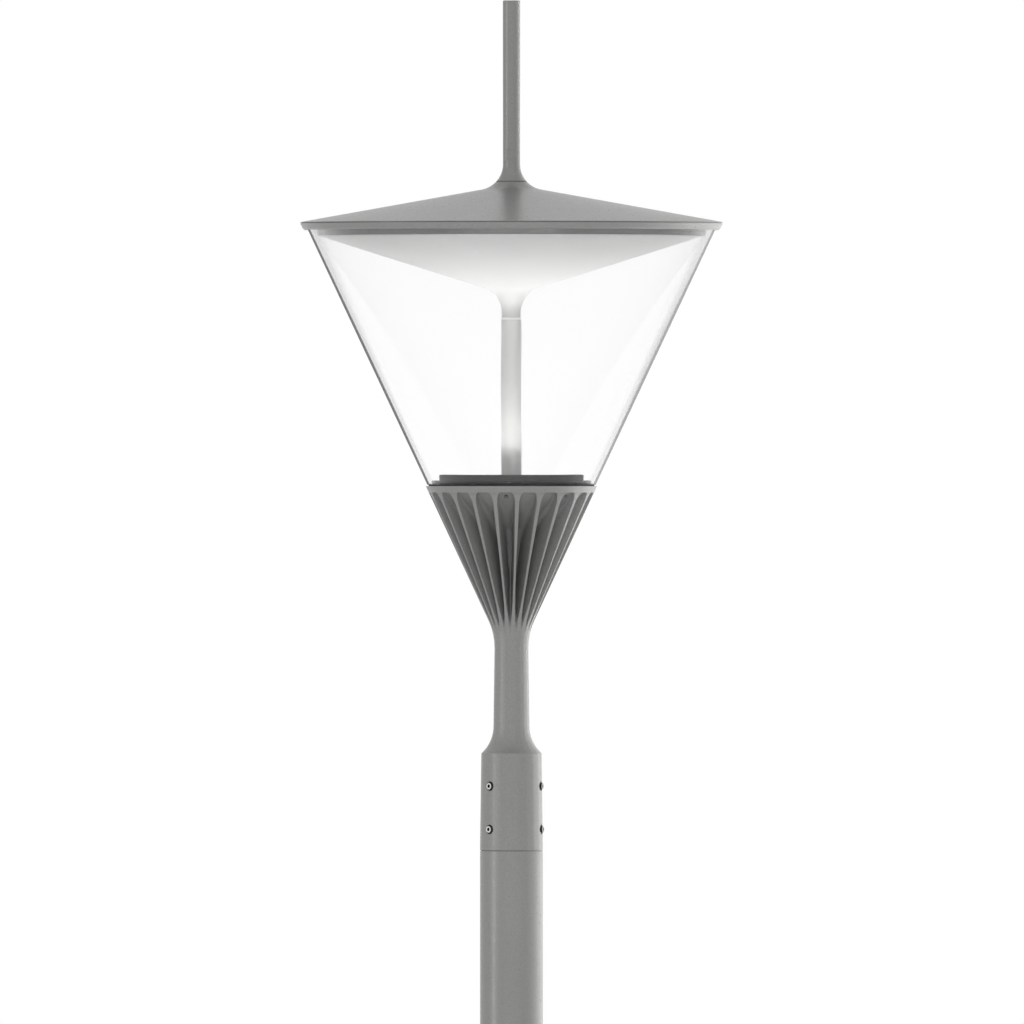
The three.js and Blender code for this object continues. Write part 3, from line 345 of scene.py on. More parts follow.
def rounded(points, steps=3):
    """The outline with each corner that is given as (x, y, radius) turned into an arc.

    Known fault: slerp gives unit vectors, so every arc has a radius of 1 mm instead of point[2].
    """
    result = []
    for i, point in enumerate(points):
        here = Vector(point[:2])
        if len(point) < 3:
            result.append(tuple(here))
            continue
        before = (Vector(points[i - 1][:2]) - here).normalized()
        after = (Vector(points[(i + 1) % len(points)][:2]) - here).normalized()
        half = before.angle(after) / 2
        centre = here + (before + after).normalized() * point[2] / math.sin(half)
        reach = point[2] / math.tan(half)
        first = here + before * reach - centre
        last = here + after * reach - centre
        for k in range(steps + 1):
            result.append(tuple(centre + first.slerp(last, k / steps)))
    return result


def mesh_object(name, vertices, faces):
    mesh = bpy.data.meshes.new(name)
    mesh.from_pydata([tuple(v) for v in vertices], [], faces)
    made = bmesh.new()
    made.from_mesh(mesh)
    bmesh.ops.recalc_face_normals(made, faces=made.faces)
    made.to_mesh(mesh)
    made.free()
    return add_object(name, mesh)


def lathe(name, outline, base=SEAM, sides=SIDES):
    """A solid turned about +Z from a closed outline of (radius, height) points."""
    vertices = []
    rings = []
    for radius, height in outline:
        if radius < 1e-6:
            rings.append([len(vertices)] * sides)
            vertices.append((0, 0, base + height * MM))
            continue
        rings.append(list(range(len(vertices), len(vertices) + sides)))
        for k in range(sides):
            angle = 2 * math.pi * k / sides
            x, y = radius * MM * math.sin(angle), -radius * MM * math.cos(angle)
            vertices.append((x, y, base + height * MM))
    faces = []
    for lower, upper in zip(rings, rings[1:] + rings[:1]):
        for k in range(sides):
            after = (k + 1) % sides
            corners = list(dict.fromkeys((lower[k], lower[after], upper[after], upper[k])))
            if len(corners) > 2:
                faces.append(corners)
    return mesh_object(name, vertices, faces)


def ring(name, inner, outer, bottom, top, edge=0.3, base=SEAM, sides=SIDES):
    corners = [(inner, bottom, edge), (outer, bottom, edge), (outer, top, edge), (inner, top, edge)]
    return lathe(name, rounded(corners), base, sides)


def rod(name, radius, bottom, top, edge=0.3, base=0.0, sides=32):
    corners = [(0, bottom), (radius, bottom, edge), (radius, top, edge), (0, top)]
    return lathe(name, rounded(corners), base, sides)


def prism(name, outline, depth):
    """A solid of the given outline in X-Y, from z = 0 up to the depth."""
    count = len(outline)
    vertices = [(x * MM, y * MM, z * MM) for z in (0, depth) for x, y in outline]
    faces = [list(range(count)), list(range(count, 2 * count))]
    faces += [[i, (i + 1) % count, count + (i + 1) % count, count + i] for i in range(count)]
    return mesh_object(name, vertices, faces)


def rectangle(half_x, half_y, corner, steps=6):
    corners = [(half_x, half_y), (-half_x, half_y), (-half_x, -half_y), (half_x, -half_y)]
    return rounded([(x, y, corner) for x, y in corners], steps)


def polygon(radius, sides, turn=0.0):
    angles = [turn + 2 * math.pi * k / sides for k in range(sides)]
    return [(radius * math.cos(a), radius * math.sin(a)) for a in angles]


def box(name, low, high):
    """A box between two corners given in millimetres."""
    outline = [(low[0], low[1]), (high[0], low[1]), (high[0], high[1]), (low[0], high[1])]
    made = prism(name, outline, high[2] - low[2])
    made.data.transform(Matrix.Translation((0, 0, low[2] * MM)))
    return made


def outwards(piece, degrees, height):
    """Lays a piece built along +Z so that it points away from the column's axis."""
    turn = Matrix.Rotation(math.radians(degrees), 4, "Z") @ Matrix.Rotation(math.pi / 2, 4, "X")
    piece.data.transform(Matrix.Translation((0, 0, height)) @ turn)
    return piece


def moved(piece, x, y, z):
    piece.data.transform(Matrix.Translation((x, y, z)))
    return piece


def on_circle(radius, degrees):
    angle = math.radians(degrees)
    return radius * math.sin(angle) * MM, -radius * math.cos(angle) * MM


def joined(name, pieces):
    """One object holding the meshes of several, which are removed."""
    made = bmesh.new()
    for piece in pieces:
        made.from_mesh(piece.data)
        bpy.data.objects.remove(piece)
    mesh = bpy.data.meshes.new(name)
    made.to_mesh(mesh)
    made.free()
    return add_object(name, mesh)


def boolean(piece, operation, tools):
    """Cuts, joins or intersects the piece with each tool, which is then removed."""
    for tool in tools:
        step = piece.modifiers.new("boolean", "BOOLEAN")
        step.operation = operation
        step.solver = "EXACT"
        step.object = tool
    bpy.context.view_layer.update()
    evaluated = piece.evaluated_get(bpy.context.evaluated_depsgraph_get())
    mesh = bpy.data.meshes.new_from_object(evaluated)
    piece.modifiers.clear()
    piece.data = mesh
    for tool in tools:
        bpy.data.objects.remove(tool)
    return piece


def finish(piece, body, material, slot, nodes=(), bevel=0.0, sharp=32, segments=2):
    """Shades the piece, rounds its edges, gives it its material and ties it to its body."""
    piece.data.materials.clear()
    piece.data.materials.append(material)
    if bevel:
        step = piece.modifiers.new("edges", "BEVEL")
        step.width = bevel * MM
        step.segments = segments
        step.limit_method = "ANGLE"
        step.angle_limit = math.radians(sharp)
        step.harden_normals = True
    piece.data.shade_smooth()
    piece.data.set_sharp_from_angle(angle=math.radians(sharp))
    normals = piece.modifiers.new("normals", "WEIGHTED_NORMAL")
    normals.keep_sharp = True
    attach(piece, body)
    if nodes:
        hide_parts(*nodes)


def dress(node, material, bevel=0.4):
    """Gives a CAD node that keeps its shape rounded edges and a material."""
    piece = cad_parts[node]
    piece.data.materials.clear()
    piece.data.materials.append(material)
    weld = piece.modifiers.new("weld", "WELD")
    weld.merge_threshold = 1e-5
    step = piece.modifiers.new("edges", "BEVEL")
    step.width = bevel * MM
    step.segments = 2
    step.limit_method = "ANGLE"
    step.angle_limit = math.radians(40)


# ------ housing

RIBS = 22
RIB_PHASE = 4.2
COLLAR_TOP = 118.5
COLLAR_RADIUS = 38.5
COLLAR_TAPER = 1.6  # how much smaller the collar's radius is at its top
FLARE = (67.0, 152.0, 45.0)  # centre radius, centre height and radius of the flare under the neck
NECK_TOP = (20.7, 247.3)
BLEND = 80.0  # radius between the neck and the cone
CONE_SLOPE = 0.4675
RIM_TOP = 444.8
POCKET_TOP = 436.7
ARCH_BOTTOM = 422.8  # where the pocket's rounded top corners begin
POCKET_FOOT = (264.0, 299.0)  # the pocket's depth fades to nothing between these heights
POCKET_FILLET = 6.0  # radius between a rib's wall and the pocket's floor
CORE_RADIUS = 20.0
CORE_FLARE = 100.0
CORE_SLOPE = 1.06
CORE_TOP_RADIUS = 97.5
HALF_PITCH = math.pi / RIBS


def smooth(value, low, high):
    t = min(1.0, max(0.0, (value - low) / (high - low)))
    return t * t * (3 - 2 * t)


def collar_radius(height):
    return COLLAR_RADIUS - COLLAR_TAPER * height / COLLAR_TOP


def envelope(height):
    """Radius of the housing over the ribs' outer faces."""
    cone_angle = math.atan(CONE_SLOPE)
    blend_top = NECK_TOP[1] + BLEND * math.sin(cone_angle)
    if height <= COLLAR_TOP:
        return collar_radius(height)
    if height <= FLARE[1]:
        return FLARE[0] - math.sqrt(FLARE[2] ** 2 - (FLARE[1] - height) ** 2)
    if height <= NECK_TOP[1]:
        share = (height - FLARE[1]) / (NECK_TOP[1] - FLARE[1])
        return (FLARE[0] - FLARE[2]) * (1 - share) + NECK_TOP[0] * share
    if height <= blend_top:
        return NECK_TOP[0] + BLEND - math.sqrt(BLEND**2 - (height - NECK_TOP[1]) ** 2)
    top_radius = NECK_TOP[0] + BLEND * (1 - math.cos(cone_angle))
    return top_radius + (height - blend_top) * CONE_SLOPE


def core(height):
    """Radius of the trumpet-shaped floor of the pockets between the ribs."""
    angle = math.atan(CORE_SLOPE)
    corner = POCKET_TOP - (CORE_TOP_RADIUS - CORE_RADIUS) / CORE_SLOPE
    bottom = corner - CORE_FLARE * math.tan(angle / 2)
    if height <= bottom:
        return CORE_RADIUS
    if height <= bottom + CORE_FLARE * math.sin(angle):
        return CORE_RADIUS + CORE_FLARE - math.sqrt(CORE_FLARE**2 - (height - bottom) ** 2)
    return CORE_TOP_RADIUS - (POCKET_TOP - height) * CORE_SLOPE


def rib_half_width(height):
    """Half the width of a rib's outer face, which flares into the rim above the arch's foot."""
    arch_half_width = envelope(ARCH_BOTTOM) * math.sin(HALF_PITCH) - 2.4
    if height >= ARCH_BOTTOM:
        rise = min(1.0, (height - ARCH_BOTTOM) / (POCKET_TOP - ARCH_BOTTOM))
        pocket = 6.4 + (arch_half_width - 6.4) * math.sqrt(1 - rise**2)
        return envelope(height) * math.sin(HALF_PITCH) - pocket
    slim = 1.3 + 1.1 * smooth(height, 345, ARCH_BOTTOM)
    closing = smooth(height, 259, 307)
    full = envelope(height) * math.sin(HALF_PITCH)
    return slim * closing + 0.8 * full * (1 - closing)


def ribbed_row(height, depth_share=1.0):
    """One ring of points at a height: rib face, rounded edge, wall, fillet and pocket floor."""
    outer = envelope(height)
    depth = max(0.0, outer - core(height)) * smooth(height, *POCKET_FOOT) * depth_share
    floor = outer - depth
    half = rib_half_width(height)
    edge = min(0.5, half / 2, depth / 3)
    room = floor * math.sin(HALF_PITCH) - half - 0.02 * depth
    fillet = max(0.0, min(POCKET_FILLET, depth / 3, 0.85 * room))
    foot = half + 0.02 * depth
    corner = math.sqrt(0.5)
    section = [
        (half - edge, outer),
        (half - edge * (1 - corner), outer - edge * (1 - corner)),
        (half, outer - edge),
        ((half + foot) / 2, (outer + floor) / 2),
    ]
    section += arc((foot + fillet, floor + fillet), fillet, 180, 270, 4)
    polar = [(0.0, outer)] + [(math.asin(side / radius), radius) for side, radius in section]
    last = polar[-1][0]
    polar += [(last + (HALF_PITCH - last) * share, floor) for share in (0.33, 0.67, 1.0)]
    row = []
    for rib in range(RIBS):
        centre = math.radians(RIB_PHASE) + 2 * HALF_PITCH * rib
        around = [(centre - a, r) for a, r in reversed(polar[1:-1])] + [(centre + a, r) for a, r in polar]
        row += [(r * math.sin(a), -r * math.cos(a), height) for a, r in around]
    return row


def round_row(radius, height, like):
    """A ring of points at the same angles as the given row."""
    row = []
    for x, y, _ in like:
        share = radius / math.hypot(x, y)
        row.append((x * share, y * share, height))
    return row


def span(start, end, steps, skip_first=True):
    first = 1 if skip_first else 0
    return [start + (end - start) * i / steps for i in range(first, steps + 1)]


def housing_rows():
    heights = [0.6] + span(0.6, COLLAR_TOP - 0.4, 4) + span(COLLAR_TOP, FLARE[1], 10, False)
    heights += span(FLARE[1], NECK_TOP[1], 5) + span(NECK_TOP[1], POCKET_FOOT[0], 2)
    heights += span(POCKET_FOOT[0], POCKET_FOOT[1], 12) + span(POCKET_FOOT[1], ARCH_BOTTOM, 26)
    arch = POCKET_TOP - ARCH_BOTTOM
    heights += [ARCH_BOTTOM + arch * math.sin(math.radians(angle)) for angle in span(0, 88, 10)]
    rows = [ribbed_row(height) for height in heights]
    rows.insert(0, round_row(37.9, 0.0, rows[0]))
    rows.append(ribbed_row(POCKET_TOP, 0.25))
    rows.append(ribbed_row(POCKET_TOP + 0.4, 0.0))
    rows.append(ribbed_row(RIM_TOP - 0.5, 0.0))
    top = rows[-1]
    # The casting's inside as (radius, height): the mouth, the neck's bore, its web and the collar.
    inner = [
        (envelope(RIM_TOP) - 0.6, RIM_TOP),
        (90.5, RIM_TOP),
        (90, RIM_TOP - 0.5),
        (90, 433.2),
        (62, 406.8),
        (38, 376),
        (24, 345),
        (16.5, 322),
        (15.5, 300),
        (15.5, 118),
        (8.8, 118),
        (8.8, 108),
        (30.6, 108),
        (30.6, 0.6),
        (31.2, 0),
    ]
    rows += [round_row(radius, height, top) for radius, height in inner]
    return rows


def housing_mesh():
    rows = housing_rows()
    count = len(rows[0])
    vertices = [(x * MM, y * MM, SEAM + z * MM) for row in rows for x, y, z in row]
    faces = []
    for i in range(len(rows)):
        lower, upper = i * count, ((i + 1) % len(rows)) * count
        for k in range(count):
            after = (k + 1) % count
            faces.append((lower + k, lower + after, upper + after, upper + k))
    return mesh_object("housing_casting", vertices, faces)


SCREW_HEIGHTS = (26.0, 78.7)
SCREW_ANGLES = (-45, 75, 195)
SET_SCREW_HOLE = 5.0
SET_SCREW_PROUD = 2.2
LED_SCREW_ANGLES = (-4, 45.1, 176, 225.1)
LED_SCREW_CIRCLE = 92.0
LED_SCREW_HOLE = 1.75
POCKET_SHADE = (320, 400)  # the heights over which the pockets' floors darken


def make_housing():
    tools = []
    for height in SCREW_HEIGHTS:
        for angle in SCREW_ANGLES:
            tools.append(outwards(rod("tool", SET_SCREW_HOLE, 24, 50, 0.1), angle, SEAM + height * MM))
    for angle in LED_SCREW_ANGLES:
        x, y = on_circle(LED_SCREW_CIRCLE, angle)
        tools.append(moved(rod("tool", LED_SCREW_HOLE, 418, 450, 0.1, SEAM, 20), x, y, 0))
    piece = boolean(housing_mesh(), "DIFFERENCE", [joined("tools", tools)])
    mark_pocket_floors(piece)
    finish(piece, "head", CAST_PAINT, "head_paint", ["housing"], sharp=38)


def mark_pocket_floors(piece):
    """Stores where painted shade darkens the casting: 1 on the upper floors of the pockets, less lower
    down, and 0 on the rest of the outside.
    """
    marks = piece.data.attributes.new(POCKET_FLOOR, "FLOAT", "POINT")
    for vertex, mark in zip(piece.data.vertices, marks.data):
        height = (vertex.co.z - SEAM) / MM
        radius = math.hypot(vertex.co.x, vertex.co.y) / MM
        if POCKET_FOOT[1] < height < POCKET_TOP - 0.1:
            mark.value = smooth(height, *POCKET_SHADE) * (1 - smooth(radius - core(height), 0.5, 6.5))


def make_set_screws():
    """Socket set screws: turned, with a chamfered end, a hexagon socket and turns of thread."""
    number = 0
    for height in SCREW_HEIGHTS:
        end = collar_radius(height) + SET_SCREW_PROUD
        for angle in SCREW_ANGLES:
            number += 1
            outline = [(0, 30.5), (3.4, 30.5), (4.0, 31.1)]
            outline += thread(4.0, 31.5, end - 1.2, 1.25)
            outline += [(4.0, end - 0.5), (3.6, end), (0, end)]
            screw = lathe("set_screw_body", outline, 0, 48)
            socket = moved(prism("tool", polygon(2.31, 6), 8), 0, 0, (end - 5.5) * MM)
            lead_in = [(0, end - 0.3), (2.1, end - 0.3), (2.5, end + 0.1), (0, end + 0.1)]
            entry = lathe("tool", lead_in, 0, 32)
            boolean(screw, "DIFFERENCE", [socket, entry])
            outwards(screw, angle, SEAM + height * MM)
            screw.name = f"socket_screw_{number}"
            finish(screw, "head", STAINLESS, "stainless", [f"set_screw_{number}"])
            # painted shade: the socket and the screw's sides turn dark
            paint_screw_shade(screw, angle, SEAM + height * MM, end)


def paint_screw_shade(screw, degrees, height, end):
    """Paints shade on a radial screw: its socket and its sides turn dark, standing in for the shade in the
    socket and in the gap round it; the face round the socket stays stainless.
    """
    screw.data.materials.append(BLACK_OXIDE_AND_SOCKET_SHADE)
    axis = Matrix.Rotation(math.radians(-degrees), 4, "Z")
    for face in screw.data.polygons:
        centre = axis @ face.center
        bright = math.hypot(centre.x, centre.z - height) > 2.05 * MM and centre.y < (0.8 - end) * MM
        face.material_index = 0 if bright else 1


def thread(radius, bottom, top, pitch):
    """The zigzag outline of turns of thread, one groove for each pitch."""
    points = []
    height = bottom
    while height + pitch <= top:
        points += [(radius, height), (radius - 0.6 * pitch, height + pitch / 2)]
        height += pitch
    return points + [(radius, height)]


# ------ LED plate, tube and glass

LED_PLATE_BOTTOM = 445.1
LED_FLANGE_TOP = 450.5
LED_PLATE_TOP = 458.5
LED_FLOOR = 453.5
LENS_COUNT = 12
LENS_CIRCLE = 52
LENS_RADIUS = 8.0
LENS_RISE = 1.38


def make_led_plate():
    outline = rounded([
        (5.3, LED_PLATE_BOTTOM),
        (96, LED_PLATE_BOTTOM, 0.5),
        (96, LED_FLANGE_TOP, 0.7),
        (88, LED_FLANGE_TOP, 0.8),
        (88, LED_PLATE_TOP, 0.7),
        (85.5, LED_PLATE_TOP, 0.4),
        (85.5, LED_FLOOR),
        (5.3, LED_FLOOR),
    ])
    plate = lathe("led_carrier_plate", outline)
    tools = []
    for angle in LED_SCREW_ANGLES:
        x, y = on_circle(LED_SCREW_CIRCLE, angle)
        countersink = [(0, 440), (2.1, 440), (2.1, LED_FLANGE_TOP - 1.8), (3.2, LED_FLANGE_TOP - 0.5)]
        countersink += [(3.2, 452), (0, 452)]
        tools.append(moved(lathe("tool", countersink, SEAM, 32), x, y, 0))
    boolean(plate, "DIFFERENCE", [joined("tools", tools)])
    finish(plate, "head", DARK_PAINT, "dark_paint", ["led_plate"])
    for number, angle in enumerate(LED_SCREW_ANGLES, 1):
        make_led_screw(number, angle)


def make_led_screw(number, angle):
    """A countersunk socket screw, flush with the flange."""
    top = LED_FLANGE_TOP - 0.3
    outline = [(0, 433), (1.2, 433), (1.5, 433.3)] + thread(1.5, 433.5, top - 4, 0.5)
    outline += [(1.5, top - 1.5), (2.8, top - 0.1), (2.75, top), (0, top)]
    screw = lathe("led_screw", outline, SEAM, 32)
    socket = moved(prism("tool", polygon(1.15, 6), 3), 0, 0, SEAM + (top - 1.2) * MM)
    boolean(screw, "DIFFERENCE", [socket])
    x, y = on_circle(LED_SCREW_CIRCLE, angle)
    moved(screw, x, y, 0)
    screw.name = f"led_carrier_screw_{number}"
    finish(screw, "head", BLACK_OXIDE_AND_SOCKET_SHADE, "dark_paint", [f"led_plate_screw_{number}"])


def dome_outline():
    """Half the section of a lens: a flat foot and a low elliptical dome."""
    angles = [math.radians(a) for a in range(10, 81, 10)]
    dome = [(LENS_RADIUS * math.cos(a), LENS_RISE * math.sin(a)) for a in angles]
    return [(0, 0), (LENS_RADIUS, 0)] + dome + [(0, LENS_RISE)]


def make_led_board():
    """The white board with an LED under each lens, and the clear plate with its lenses."""
    board = ring("led_circuit_board", 14, 85, LED_FLOOR + 0.3, LED_FLOOR + 1.9, 0.1)
    finish(board, "head", BOARD_WHITE, "board", ["led_board"])
    chips = []
    lenses = [ring("lens_base", 14, 85, LED_FLOOR + 2.2, LED_FLOOR + 3.4, 0.2)]
    for i in range(LENS_COUNT):
        x, y = on_circle(LENS_CIRCLE, 360 * i / LENS_COUNT)
        chip = prism("chip", rectangle(1.6, 1.6, 0.3, 2), 0.26)
        chips.append(moved(chip, x, y, SEAM + (LED_FLOOR + 1.92) * MM))
        dome = lathe("dome", dome_outline(), SEAM + (LED_FLOOR + 3.41) * MM, 32)
        lenses.append(moved(dome, x, y, 0))
    finish(joined("led_chips", chips), "head", PHOSPHOR, "board", bevel=0.05)
    finish(joined("lens_sheet", lenses), "head", LENS_PLASTIC, "lens", ["led_lens_plate"])


GLASS_BOTTOM = 446.5
GLASS_TOP = 761.0
GLASS_BOTTOM_RADIUS = 102.6
GLASS_SLOPE = 0.468
GLASS_WALL = 5.5


def make_glass():
    top_radius = GLASS_BOTTOM_RADIUS + GLASS_SLOPE * (GLASS_TOP - GLASS_BOTTOM)
    outline = rounded([
        (GLASS_BOTTOM_RADIUS - GLASS_WALL, GLASS_BOTTOM, 0.8),
        (GLASS_BOTTOM_RADIUS, GLASS_BOTTOM, 0.8),
        (top_radius, GLASS_TOP, 0.6),
        (top_radius - GLASS_WALL, GLASS_TOP, 0.6),
    ])
    cone = lathe("clear_glass_cone", outline, sides=192)
    mark_outer_wall(cone)
    finish(cone, "head", CLEAR, "clear_cone", ["glass_cone"])
    seal = [(96.3, LED_PLATE_BOTTOM), (100.5, LED_PLATE_BOTTOM, 0.3), (100.5, GLASS_BOTTOM - 0.3, 0.3)]
    seal += [(97, GLASS_BOTTOM - 0.3), (97, LED_FLANGE_TOP, 0.2), (96.3, LED_FLANGE_TOP, 0.2)]
    foot = lathe("glass_foot_seal", rounded(seal))
    finish(foot, "head", RUBBER, "rubber", ["glass_foot_gasket"])
    top = ring("glass_head_seal", 243.5, 250.6, GLASS_TOP + 0.3, GLASS_TOP + 1.9, 0.5)
    finish(top, "head", RUBBER, "rubber", ["glass_head_gasket"])


def mark_outer_wall(piece):
    """Stores 1 on the faces that look away from the column's axis and 0 on the others."""
    marks = piece.data.attributes.new(OUTER_WALL, "FLOAT", "FACE")
    for face, mark in zip(piece.data.polygons, marks.data):
        mark.value = float(face.normal.x * face.center.x + face.normal.y * face.center.y > 0)


def make_tube():
    tube = ring("centre_tube_sleeve", 9.5, 11.6, LED_FLOOR + 0.3, 648.5, 0.3, sides=64)
    finish(tube, "head", TUBE_PAINT, "tube_paint", ["centre_tube"])
    joint = ring("tube_joint_ring", 5.6, 11.6, 648.8, 650.5, 0.3, sides=64)
    finish(joint, "head", RING_WHITE, "white_paint", ["tube_ring"])


# ------ reflector, canopy and finial

FLARE_RADIUS = 31.7
SPOUT_RADIUS = 11.5
SPOUT_BOTTOM = 651.1
SPOUT_TOP = 657.1
SPOUT_SHADE = (648, 674)  # the heights over which the spout's shade fades out
RIM_RADIUS = 235.3
RIM = 750.5
REFLECTOR_SLOPE = 17.46
CANOPY_RADIUS = 257.9
CANOPY_EDGE = 767.0
CANOPY_SLOPE = 10.07
CROWN_SEAM = 815.9
FINIAL_RADIUS = 10.43
FINIAL_FLARE_TOP = 837.8
FINIAL_TOP = 1037.2
FINIAL_FOOT = CROWN_SEAM + 1.0


def make_reflector():
    centre = (SPOUT_RADIUS + FLARE_RADIUS, SPOUT_TOP)
    end = 90 + REFLECTOR_SLOPE
    outline = [(SPOUT_RADIUS, SPOUT_BOTTOM)]
    outline += arc(centre, FLARE_RADIUS, 180, end, 16)
    outline += [(RIM_RADIUS - 0.6, RIM - 0.2), (RIM_RADIUS + 1.2, RIM + 0.2), (RIM_RADIUS + 1.6, RIM + 0.6)]
    outline += [(RIM_RADIUS + 1.3, RIM + 1.1), (RIM_RADIUS - 3.5, RIM + 1.1)]
    outline += arc(centre, FLARE_RADIUS + 2, end, 180, 16)
    outline += [(SPOUT_RADIUS - 2, SPOUT_BOTTOM)]
    piece = lathe("reflector_trumpet", outline)
    mark_spout(piece)
    finish(piece, "head", WHITE_PAINT, "white_paint", ["reflector"])


def mark_spout(piece):
    """Stores where painted shade darkens the reflector: 1 at the spout's lower end, fading to 0 where it
    flares out.
    """
    marks = piece.data.attributes.new(SPOUT, "FLOAT", "POINT")
    for vertex, mark in zip(piece.data.vertices, marks.data):
        mark.value = 1 - smooth((vertex.co.z - SEAM) / MM, *SPOUT_SHADE)


def make_canopy_ring():
    top = CANOPY_EDGE - 1.7
    outline = rounded([
        (252.6, 757.8, 0.4),
        (255.2, 757.8, 1.6),
        (257.1, top, 0.4),
        (232.5, top),
        (232.5, RIM + 1.4, 0.3),
        (237.4, RIM + 1.4, 1.0),
        (237.4, GLASS_TOP + 2.2),
        (251.5, GLASS_TOP + 2.2),
        (251.5, 758.6, 0.3),
    ])
    finish(lathe("canopy_edge_ring", outline, sides=192), "head", PAINT, "head_paint", ["canopy_ring"])


def make_canopy():
    centre = (FINIAL_RADIUS + FLARE_RADIUS, FINIAL_FLARE_TOP)
    slope_end = 270 - CANOPY_SLOPE
    wall = 2.2
    crown_outer = 180 + math.degrees(math.asin((FINIAL_FLARE_TOP - CROWN_SEAM) / FLARE_RADIUS))
    under_top = CROWN_SEAM - wall + 0.1
    crown_inner = 180 + math.degrees(math.asin((FINIAL_FLARE_TOP - under_top) / (FLARE_RADIUS + wall)))
    drop = 8 * math.tan(math.radians(CANOPY_SLOPE)) - wall / math.cos(math.radians(CANOPY_SLOPE))
    outline = [(CANOPY_RADIUS - 0.4, CANOPY_EDGE - 0.9), (CANOPY_RADIUS, CANOPY_EDGE - 0.6)]
    outline += [(CANOPY_RADIUS, CANOPY_EDGE - 0.3), (CANOPY_RADIUS - 0.3, CANOPY_EDGE + 0.04)]
    outline += arc(centre, FLARE_RADIUS, slope_end, crown_outer, 16)
    outline += [(6, CROWN_SEAM), (6, under_top)]
    outline += arc(centre, FLARE_RADIUS + wall, crown_inner, slope_end, 16)
    outline += [(CANOPY_RADIUS - 8, CANOPY_EDGE + drop)]
    finish(lathe("canopy_sheet", outline, sides=192), "head", PAINT, "head_paint", ["canopy_cover"])
    gasket = ring("finial_seal", 6, 17.6, CROWN_SEAM + 0.3, CROWN_SEAM + 0.7, 0.15, sides=64)
    finish(gasket, "head", SEAL_GREY, "rubber", ["finial_gasket"])


def make_finial():
    centre = (FINIAL_RADIUS + FLARE_RADIUS, FINIAL_FLARE_TOP)
    start = 180 + math.degrees(math.asin((FINIAL_FLARE_TOP - FINIAL_FOOT) / FLARE_RADIUS))
    outline = [(0, 836), (5.4, 836), (5.4, FINIAL_FOOT)]
    outline += arc(centre, FLARE_RADIUS, start, 180, 16)
    outline += rounded([(FINIAL_RADIUS, 900), (FINIAL_RADIUS, FINIAL_TOP, 0.8), (0, FINIAL_TOP)])[1:]
    piece = lathe("finial_rod", outline, sides=96)
    tools = []
    for side in (-1, 1):
        low = (-20, 9 if side > 0 else -30, 842.7)
        high = (20, 30 if side > 0 else -9, 855.4)
        tool = box("tool", low, high)
        tool.data.transform(Matrix.Rotation(math.radians(-17.7), 4, "Z"))
        tools.append(moved(tool, 0, 0, SEAM))
    boolean(piece, "DIFFERENCE", tools)
    finish(piece, "head", PAINT, "head_paint", ["finial"])


# ------ column

SHAFT_RADIUS = 38.05
SHAFT_WALL = 3.2
TUBE_RADIUS = 57.15
TUBE_WALL = 4
TUBE_TOP = 1100.0
SHOULDER_TOP = 1160.0
DOOR_BOTTOM = 500.0
DOOR_TOP = 900.0
DOOR_HALF_WIDTH = 42.5
LOCK_HEIGHT = 885.0
PLATE_SIDE = 280.0
ANCHOR_OFFSET = 0.1  # metres from the column's axis, along X and along Y


def on_column(piece, *nodes, **edges):
    """Finishes a painted piece of the column."""
    finish(piece, "column", COLUMN_PAINT, "column_paint", nodes, **edges)


def slot_tool(half_width, bottom, top, corner):
    """A round-cornered slot that runs along Y through the front wall."""
    made = prism("tool", rectangle(half_width, (top - bottom) / 2, corner), 60)
    turn = Matrix.Rotation(math.pi / 2, 4, "X")
    made.data.transform(Matrix.Translation((0, -0.01, (top + bottom) / 2 * MM)) @ turn)
    return made


def make_shaft():
    top = (SEAM / MM) - 0.5
    outline = rounded([
        (SHAFT_RADIUS - SHAFT_WALL, SHOULDER_TOP + 0.3),
        (SHAFT_RADIUS, SHOULDER_TOP + 0.3, 0.4),
        (SHAFT_RADIUS, top, 0.7),
        (SHAFT_RADIUS - SHAFT_WALL, top, 0.4),
    ])
    on_column(lathe("column_shaft", outline, 0), "shaft")


def make_shoulder():
    bottom = TUBE_TOP + 0.3
    outer = []
    steps = 20
    for i in range(steps + 1):
        share = (1 + math.cos(math.pi * i / steps)) / 2
        radius = SHAFT_RADIUS + (TUBE_RADIUS - SHAFT_RADIUS) * share
        outer.append((radius, bottom + (SHOULDER_TOP - bottom) * i / steps))
    inner = [(radius - TUBE_WALL, height) for radius, height in reversed(outer)]
    piece = lathe("column_shoulder", outer + inner, 0)
    on_column(piece, "shoulder")


def make_base_tube():
    tube = ring("column_base_tube", TUBE_RADIUS - TUBE_WALL, TUBE_RADIUS, 15.3, TUBE_TOP, 0.4, 0)
    boolean(tube, "DIFFERENCE", [slot_tool(DOOR_HALF_WIDTH, DOOR_BOTTOM, DOOR_TOP, 12)])
    on_column(tube, "base_tube")


def weld_bead(name, radius, height, size):
    """A rippled fillet of weld round the column."""
    sides = 240
    section = [(0, 0), (size, 0), (0.62 * size, 0.34 * size), (0.34 * size, 0.62 * size), (0, size)]
    vertices = []
    for k in range(sides):
        angle = 2 * math.pi * k / sides
        swell = 1 + 0.05 * math.sin(0.5 * math.pi * k) + 0.04 * math.sin(11 * angle)
        for out, up in section:
            r = (radius + out * swell) * MM
            vertices.append((r * math.sin(angle), -r * math.cos(angle), (height + up * swell) * MM))
    count = len(section)
    faces = []
    for k in range(sides):
        after = (k + 1) % sides
        for i in range(count):
            j = (i + 1) % count
            faces.append((k * count + i, after * count + i, after * count + j, k * count + j))
    bead = mesh_object(name, vertices, faces)
    on_column(bead, sharp=60)


